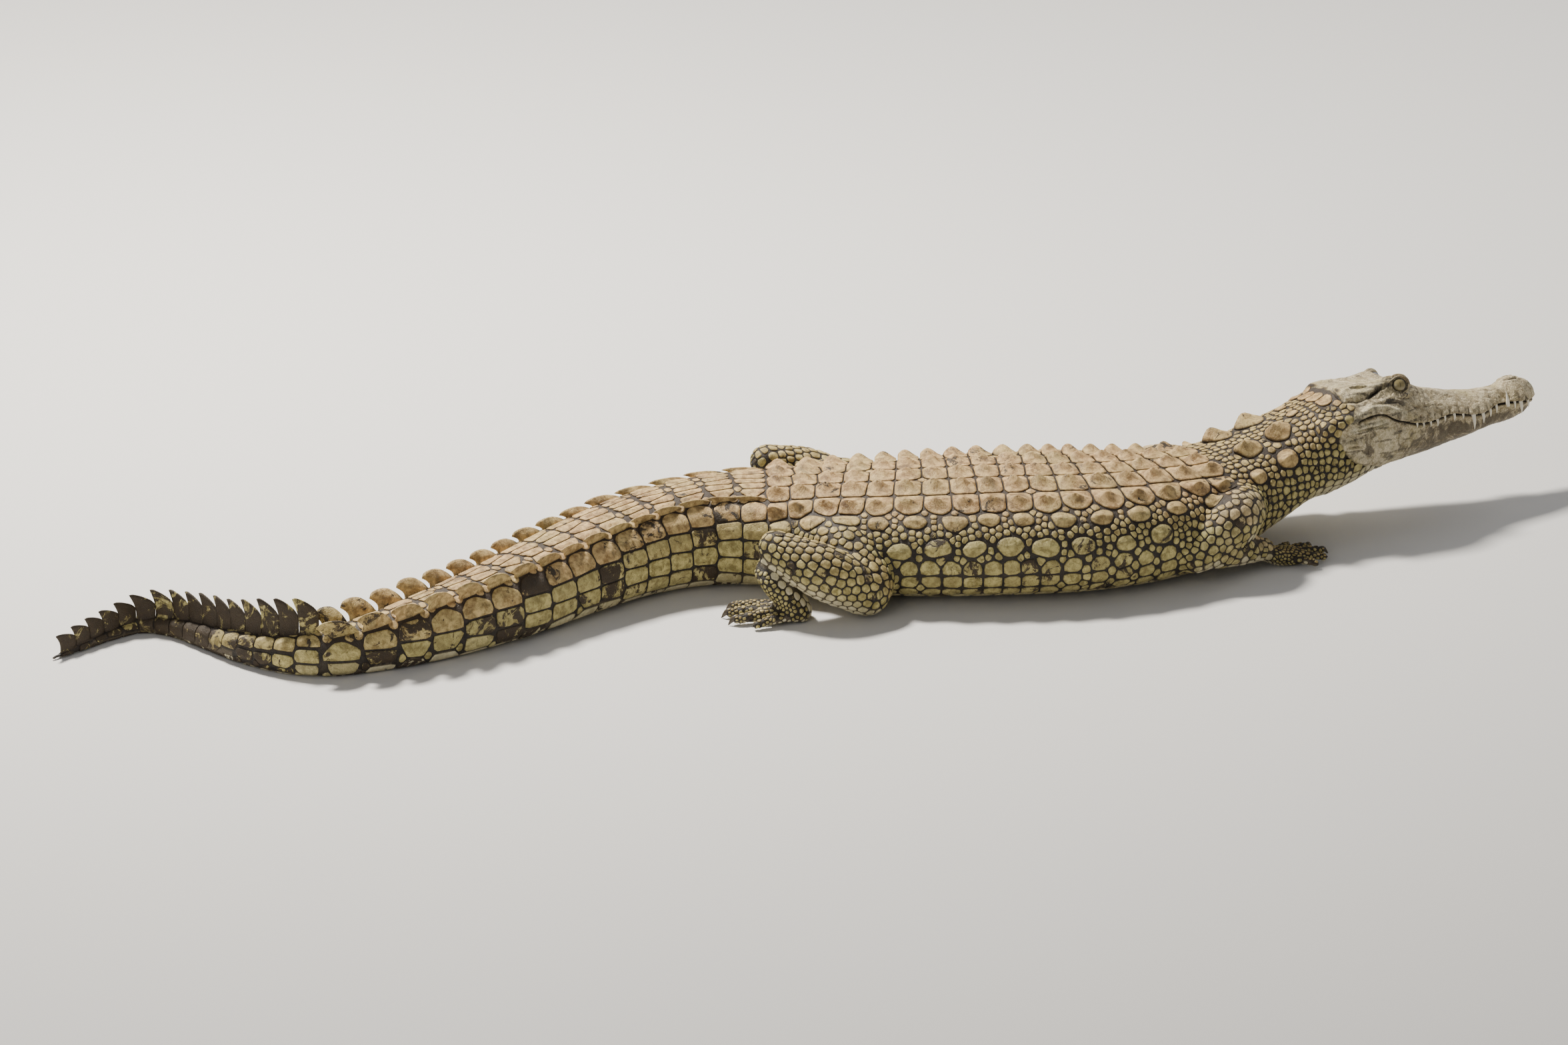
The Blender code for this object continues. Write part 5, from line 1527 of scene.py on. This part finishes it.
above_crease = local[:, 2] - mouth_line(local[:, 0])
jaw_pale = (1 - smooth_step(above_crease, -0.010, -0.001)) * (1 - smooth_step(local[:, 0], 0.10, 0.20))
under_jaw = smooth_step(local[:, 0], 0.09, 0.20) * smooth_step(-above_crease, 0.004, 0.016)
face_dust = 0.75 * beside("brow", 0.0035)
face_dark = (
    1.6 * beside("jaw_spot", 0.0060) + 1.2 * beside("under_eye", 0.0050) + beside("ear_slit", 0.0040)
    + 0.75 * under_jaw
)
face_pale = (
    0.40 * jaw_pale + 0.8 * beside("cheek_roll", 0.007) + 0.8 * beside("jaw_ridge", 0.005)
    + 0.35 * beside("ear_flap", 0.007)
)
keep_masks(
    skin_mesh,
    laid["dust"][over] * (1 - face) + face * face_dust,
    laid["dark"][over] * (1 - face) + face * np.clip(face_dark, 0, 2),
    laid["pale"][over] * (1 - face) + face * np.clip(face_pale, 0, 1),
)

# Crest of the tail ---------------------------------------------------------------------------
# Two rows of horny fins run back from the hips, lean outward and grow taller; where they
# meet, one row of tall blades with swept-back points goes on to the end of the tail.

# Heights by station; edges by share of the blade's base from the front: place along, and height.
PAIR_HEIGHTS = ((-0.720, 0.038), (-0.550, 0.029), (-0.350, 0.017), (-0.200, 0.011), (-0.050, 0.007))
SINGLE_HEIGHTS = ((-1.112, 0.026), (-1.000, 0.038), (-0.900, 0.046), (-0.800, 0.053), (-0.712, 0.062))
FIN_EDGE = (
    (0.0, 0.49, 0.03), (0.2, 0.33, 0.42), (0.45, 0.02, 0.86), (0.68, -0.32, 1.0), (0.86, -0.56, 0.93),
    (1.0, -0.66, 0.72),
)
BLADE_EDGE = (
    (0.0, 0.49, 0.50), (0.2, 0.30, 0.66), (0.45, -0.05, 0.82), (0.70, -0.42, 0.94), (0.88, -0.70, 1.0),
    (1.0, -0.84, 0.98),
)
FIN_LEAN, FIN_THICK, BLADE_THICK = 24.0, 0.0100, 0.0105
BLADE_COLUMNS, BLADE_LEVELS, BLADE_ROOT = 13, 9, 0.006


def crest_blade(rear, front, height, v, lean, edge, thick):
    """Points, faces and shares of the height of one fin that stands on the tail."""
    (start, end), (up, _), _ = on_body([rear, front], [v, v])
    middle, span = (start + end) / 2, (end - start) * 0.985
    ahead = span / np.linalg.norm(span)
    left = np.array([-ahead[1], ahead[0], 0.0])
    left /= np.linalg.norm(left)
    tilt = math.radians(lean) * np.sign(v)
    rise = math.cos(tilt) * np.array([0.0, 0.0, 1.0]) + math.sin(tilt) * left
    wall = math.cos(tilt) * left - math.sin(tilt) * np.array([0.0, 0.0, 1.0])
    t, q = np.meshgrid(np.linspace(0, 1, BLADE_COLUMNS), np.linspace(0, 1, BLADE_LEVELS), indexing="ij")
    top = through(edge, t[:, 0])
    high = top[:, 1][:, None] * height
    swept = 0.16 * smooth_step(t, 0.55, 1.0) * np.sin(np.pi * q)
    along = (0.5 - t) * (1 - q) + top[:, 0][:, None] * q + swept
    tall = -BLADE_ROOT * (1 - q) + high * q
    half = 0.5 * thick * (0.30 + 0.70 * np.sin(np.pi * np.clip(t, 0.04, 0.96)) ** 0.7) * (1 - 0.86 * q ** 0.8)
    half = half * (1 + 0.16 * np.cos(9 * q + 2.5 * t)) + 0.0004
    centre = middle + along[:, :, None] * span + tall[:, :, None] * rise
    cup = 0.10 * height * np.sin(np.pi * q) * np.sin(np.pi * t) * (1 if lean else 0)
    sides = [centre + ((s * half - np.sign(v) * cup)[:, :, None]) * wall for s in (-1, 1)]
    points = np.concatenate([s.reshape(-1, 3) for s in sides])
    points[:, 2] = np.maximum(points[:, 2], 0.0)
    index = np.arange(t.size).reshape(t.shape)
    a, b, c, d = index[:-1, :-1], index[1:, :-1], index[1:, 1:], index[:-1, 1:]
    faces = np.stack([a, b, c, d], axis=2).reshape(-1, 4).tolist()
    faces += (np.stack([a, d, c, b], axis=2).reshape(-1, 4) + t.size).tolist()
    for line in (index[:, 0][::-1], index[:, -1], index[0], index[-1][::-1]):
        for p, r in zip(line[:-1], line[1:]):
            faces.append([p, r, r + t.size, p + t.size])
    return points, faces, np.concatenate([q.ravel(), q.ravel()])


blades = []
for edges, paired in ((pair_edges, True), (single_edges, False)):
    for rear, front in zip(edges[:-1], edges[1:]):
        x = (rear + front) / 2
        if paired:
            height = float(through(PAIR_HEIGHTS, x)[0, 0])
            for side in (-1, 1):
                grown = height * chance.uniform(0.92, 1.08)
                place = side * crest_place[x]
                blade = crest_blade(rear, front, grown, place, FIN_LEAN, FIN_EDGE, FIN_THICK)
                blades.append((*blade, x))
        else:
            height = float(through(SINGLE_HEIGHTS, x)[0, 0]) * chance.uniform(0.95, 1.05)
            thick = min(BLADE_THICK, 1.5 * float(through(BODY, x)[0, 1]))
            blades.append((*crest_blade(rear, front, height, 1e-6, 0.0, BLADE_EDGE, thick), x))


def joined_mesh(name, shapes):
    points, faces = [], []
    for some_points, some_faces in shapes:
        faces += [tuple(i + len(points) for i in face) for face in some_faces]
        points += [tuple(p) for p in some_points]
    mesh = bpy.data.meshes.new(name)
    mesh.from_pydata(points, [], faces)
    shape = bmesh.new()
    shape.from_mesh(mesh)
    bmesh.ops.recalc_face_normals(shape, faces=shape.faces)
    shape.to_mesh(mesh)
    shape.free()
    mesh.shade_smooth()
    return mesh


crest_mesh = joined_mesh("tail_crest", [(b[0], b[1]) for b in blades])
stations = np.concatenate([np.full(len(b[0]), b[3]) for b in blades])
# The fins darken toward their roots, taking the groove tone: painted shade where they stand on the tail.
keep_number(crest_mesh, "rise", np.clip(0.45 + 0.9 * np.concatenate([b[2] for b in blades]), 0, 1))
keep_number(crest_mesh, "own", np.concatenate([np.full(len(b[0]), chance.random()) for b in blades]))
crest_dark = np.clip(0.12 + 0.72 * smooth_step(-stations, 0.52, 0.82), 0, 1)
keep_masks(crest_mesh, 0.80 * smooth_step(stations, -0.76, -0.60), crest_dark, 0.0)
show("tail_crest", crest_mesh, scale_finish)

# Claws -----------------------------------------------------------------------------------------
# The three inner toes of each foot end in a blunt curved claw of dark horn, a sheath that
# grows over the last bone of the toe.


def horn_cone(line, radii, sides, squeeze=1.0):
    """A curved tapering solid through the places of a line."""
    line, loops = np.asarray(line, float), []
    ways = np.gradient(line, axis=0)
    for centre, way, radius in zip(line, ways, radii):
        way = way / np.linalg.norm(way)
        first = np.cross(way, (0.13, 0.27, 0.95))
        first /= np.linalg.norm(first)
        second = np.cross(way, first)
        turn = 2 * math.pi * np.arange(sides) / sides
        ring = squeeze * np.outer(np.cos(turn), first) + np.outer(np.sin(turn), second)
        loops.append(centre + radius * ring)
    return np.concatenate(loops), tube_faces(len(loops), sides)


CLAW_LENGTHS = {"hind": 0.017, "front": 0.015}
CLAW_INSIDE, CLAW_ARCH, CLAW_POINT_UP = 0.004, 0.0035, 0.0012
claws = []
for side in (-1, 1):
    for girdle, toes in (("hind", HIND_TOES), ("front", FRONT_TOES)):
        for root, tip, radius, clawed in toes:
            if not clawed:
                continue
            root, tip = placed((root, tip), girdle_frame(girdle, side))
            ahead = (tip - root) * (1, 1, 0)
            ahead /= np.linalg.norm(ahead)
            t = np.linspace(0, 1, 12)
            line = tip + np.outer(-CLAW_INSIDE + CLAW_LENGTHS[girdle] * t, ahead)
            arch = CLAW_ARCH * np.sin(np.pi * np.minimum(t * 1.1, 1))
            line[:, 2] = tip[2] + arch - (tip[2] - CLAW_POINT_UP) * t ** 1.6
            claws.append(horn_cone(line, 0.62 * radius * (1 - t ** 1.5) + 0.0005, 14, 0.72))
claw_finish = Nodes("claw_horn")
horn = claw_finish.blend(claw_finish.grain(160, 5), paint(38, 33, 28), paint(96, 84, 66))
claw_finish.give(claw_finish.shader, "Base Color", horn)
claw_finish.give(claw_finish.shader, "Roughness", 0.38)
ridges = claw_finish.add("ShaderNodeBump", Strength=0.3, Distance=0.0004, Height=claw_finish.grain(600, 3))
claw_finish.give(claw_finish.shader, "Normal", ridges.outputs["Normal"])
show("claws", joined_mesh("claws", claws), claw_finish.material)

# Teeth ------------------------------------------------------------------------------------------
# White conical teeth stand in sockets along both jaws; the upper ones hang outside the
# lower jaw and the fourth of the lower jaw shows in the notch behind the nose.


def tooth_solid(u, side, root_out, root_up, tip_out, tip_up, radius):
    t = np.linspace(0, 1, 10)
    line = np.column_stack([
        u - 0.0015 * t ** 2, side * (root_out + (tip_out - root_out) * t + 0.0012 * np.sin(np.pi * t)),
        root_up + (tip_up - root_up) * t,
    ])
    return horn_cone(from_head(line), radius * (1 - 0.93 * t ** 1.7), 12)


def tooth_row(rows, places, root_in, root_deep, tip_out, way):
    """Teeth of one jaw; way is -1 where they point down and 1 where they point up."""
    made = []
    for u, length in places:
        lip, mouth = float(through(rows, u)[0, 0]), float(mouth_line(u)[0])
        radius = TOOTH_THIN + TOOTH_THICKER * length
        root_up, tip_up = mouth - way * root_deep, mouth + way * length
        for side in (-1, 1):
            made.append(tooth_solid(u, side, lip - root_in, root_up, lip + tip_out, tip_up, radius))
    return made


TOOTH_THIN, TOOTH_THICKER = 0.0013, 0.11  # radius at the root of a tooth of no length, and growth
upper = tooth_row(HEAD, UPPER_TEETH, 0.0026, 0.004, 0.0004, -1)
lower = tooth_row(JAW, LOWER_TEETH, 0.0020, 0.005, -0.0006, 1)
ivory = Nodes("tooth_ivory")
ivory_tone = ivory.blend(ivory.grain(220, 4), paint(226, 216, 188), paint(244, 238, 222))
ivory.give(ivory.shader, "Base Color", ivory_tone)
ivory.give(ivory.shader, "Roughness", 0.32)
show("teeth_upper", joined_mesh("teeth_upper", upper), ivory.material)
show("teeth_lower", joined_mesh("teeth_lower", lower), ivory.material)

# Eyes -------------------------------------------------------------------------------------------
# Round wet eyeballs, set in their sockets and held by the lids: grey-olive, with a fine dark rim
# of painted shade under the lids and a narrow upright pupil.

eye_finish = Nodes("eye_glaze")
lid_shade_ring, slit = eye_finish.mask("rise"), eye_finish.mask("own")
iris = eye_finish.blend(eye_finish.grain(500, 5, 0.7), paint(108, 96, 60), paint(156, 142, 98))
# Painted shade: the eyeball darkens toward the lids.
iris = eye_finish.blend(eye_finish.ramp(lid_shade_ring, 0.66, 0.98), iris, paint(44, 37, 26))
iris = eye_finish.blend(eye_finish.ramp(slit, 0.35, 0.8, 0.0, 0.75), iris, paint(52, 45, 30))
eye_finish.give(eye_finish.shader, "Base Color", iris)
eye_finish.give(eye_finish.shader, "Roughness", 0.28)
eye_finish.give(eye_finish.shader, "Coat Weight", 0.25)
eye_finish.give(eye_finish.shader, "Coat Roughness", 0.04)
BALL_RINGS, BALL_AROUND, CORNEA = 48, 64, 0.0006
RIM_TURN, PUPIL_WIDE, PUPIL_TALL = 46, 0.055, 0.42  # degrees from the middle, and shares of the ball
for name, side in (("eye_right", -1), ("eye_left", 1)):
    way = OPENING_WAY * (1, side, 1)
    first = np.cross(way, (0, 0, 1))
    first /= np.linalg.norm(first)
    second = np.cross(first, way)
    latitude, turn = np.linspace(0.002, math.pi - 0.002, BALL_RINGS), np.arange(BALL_AROUND)
    latitude, turn = np.meshgrid(latitude, 2 * math.pi * turn / BALL_AROUND, indexing="ij")
    ball = (
        np.cos(latitude)[..., None] * way
        + (np.sin(latitude) * np.cos(turn))[..., None] * first
        + (np.sin(latitude) * np.sin(turn))[..., None] * second
    )
    radius = EYE_RADIUS + CORNEA * bell(latitude, 0.5)
    points = from_head((EYE_AT * (1, side, 1) + radius[..., None] * ball).reshape(-1, 3))
    mesh = joined_mesh(name + "_ball", [(points, tube_faces(BALL_RINGS, BALL_AROUND))])
    from_middle = np.degrees(latitude).ravel()
    # rise here is the share of the way out to the lids, where the painted shade lies.
    keep_number(mesh, "rise", np.clip(from_middle / RIM_TURN, 0, 1))
    across, tall = ball.reshape(-1, 3) @ first, ball.reshape(-1, 3) @ second
    pupil = 1.3 - np.hypot(across / PUPIL_WIDE, tall / PUPIL_TALL)
    keep_number(mesh, "own", np.clip(pupil, 0, 1) * (from_middle < 60))
    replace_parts(show(name + "_ball", mesh, eye_finish.material), name)
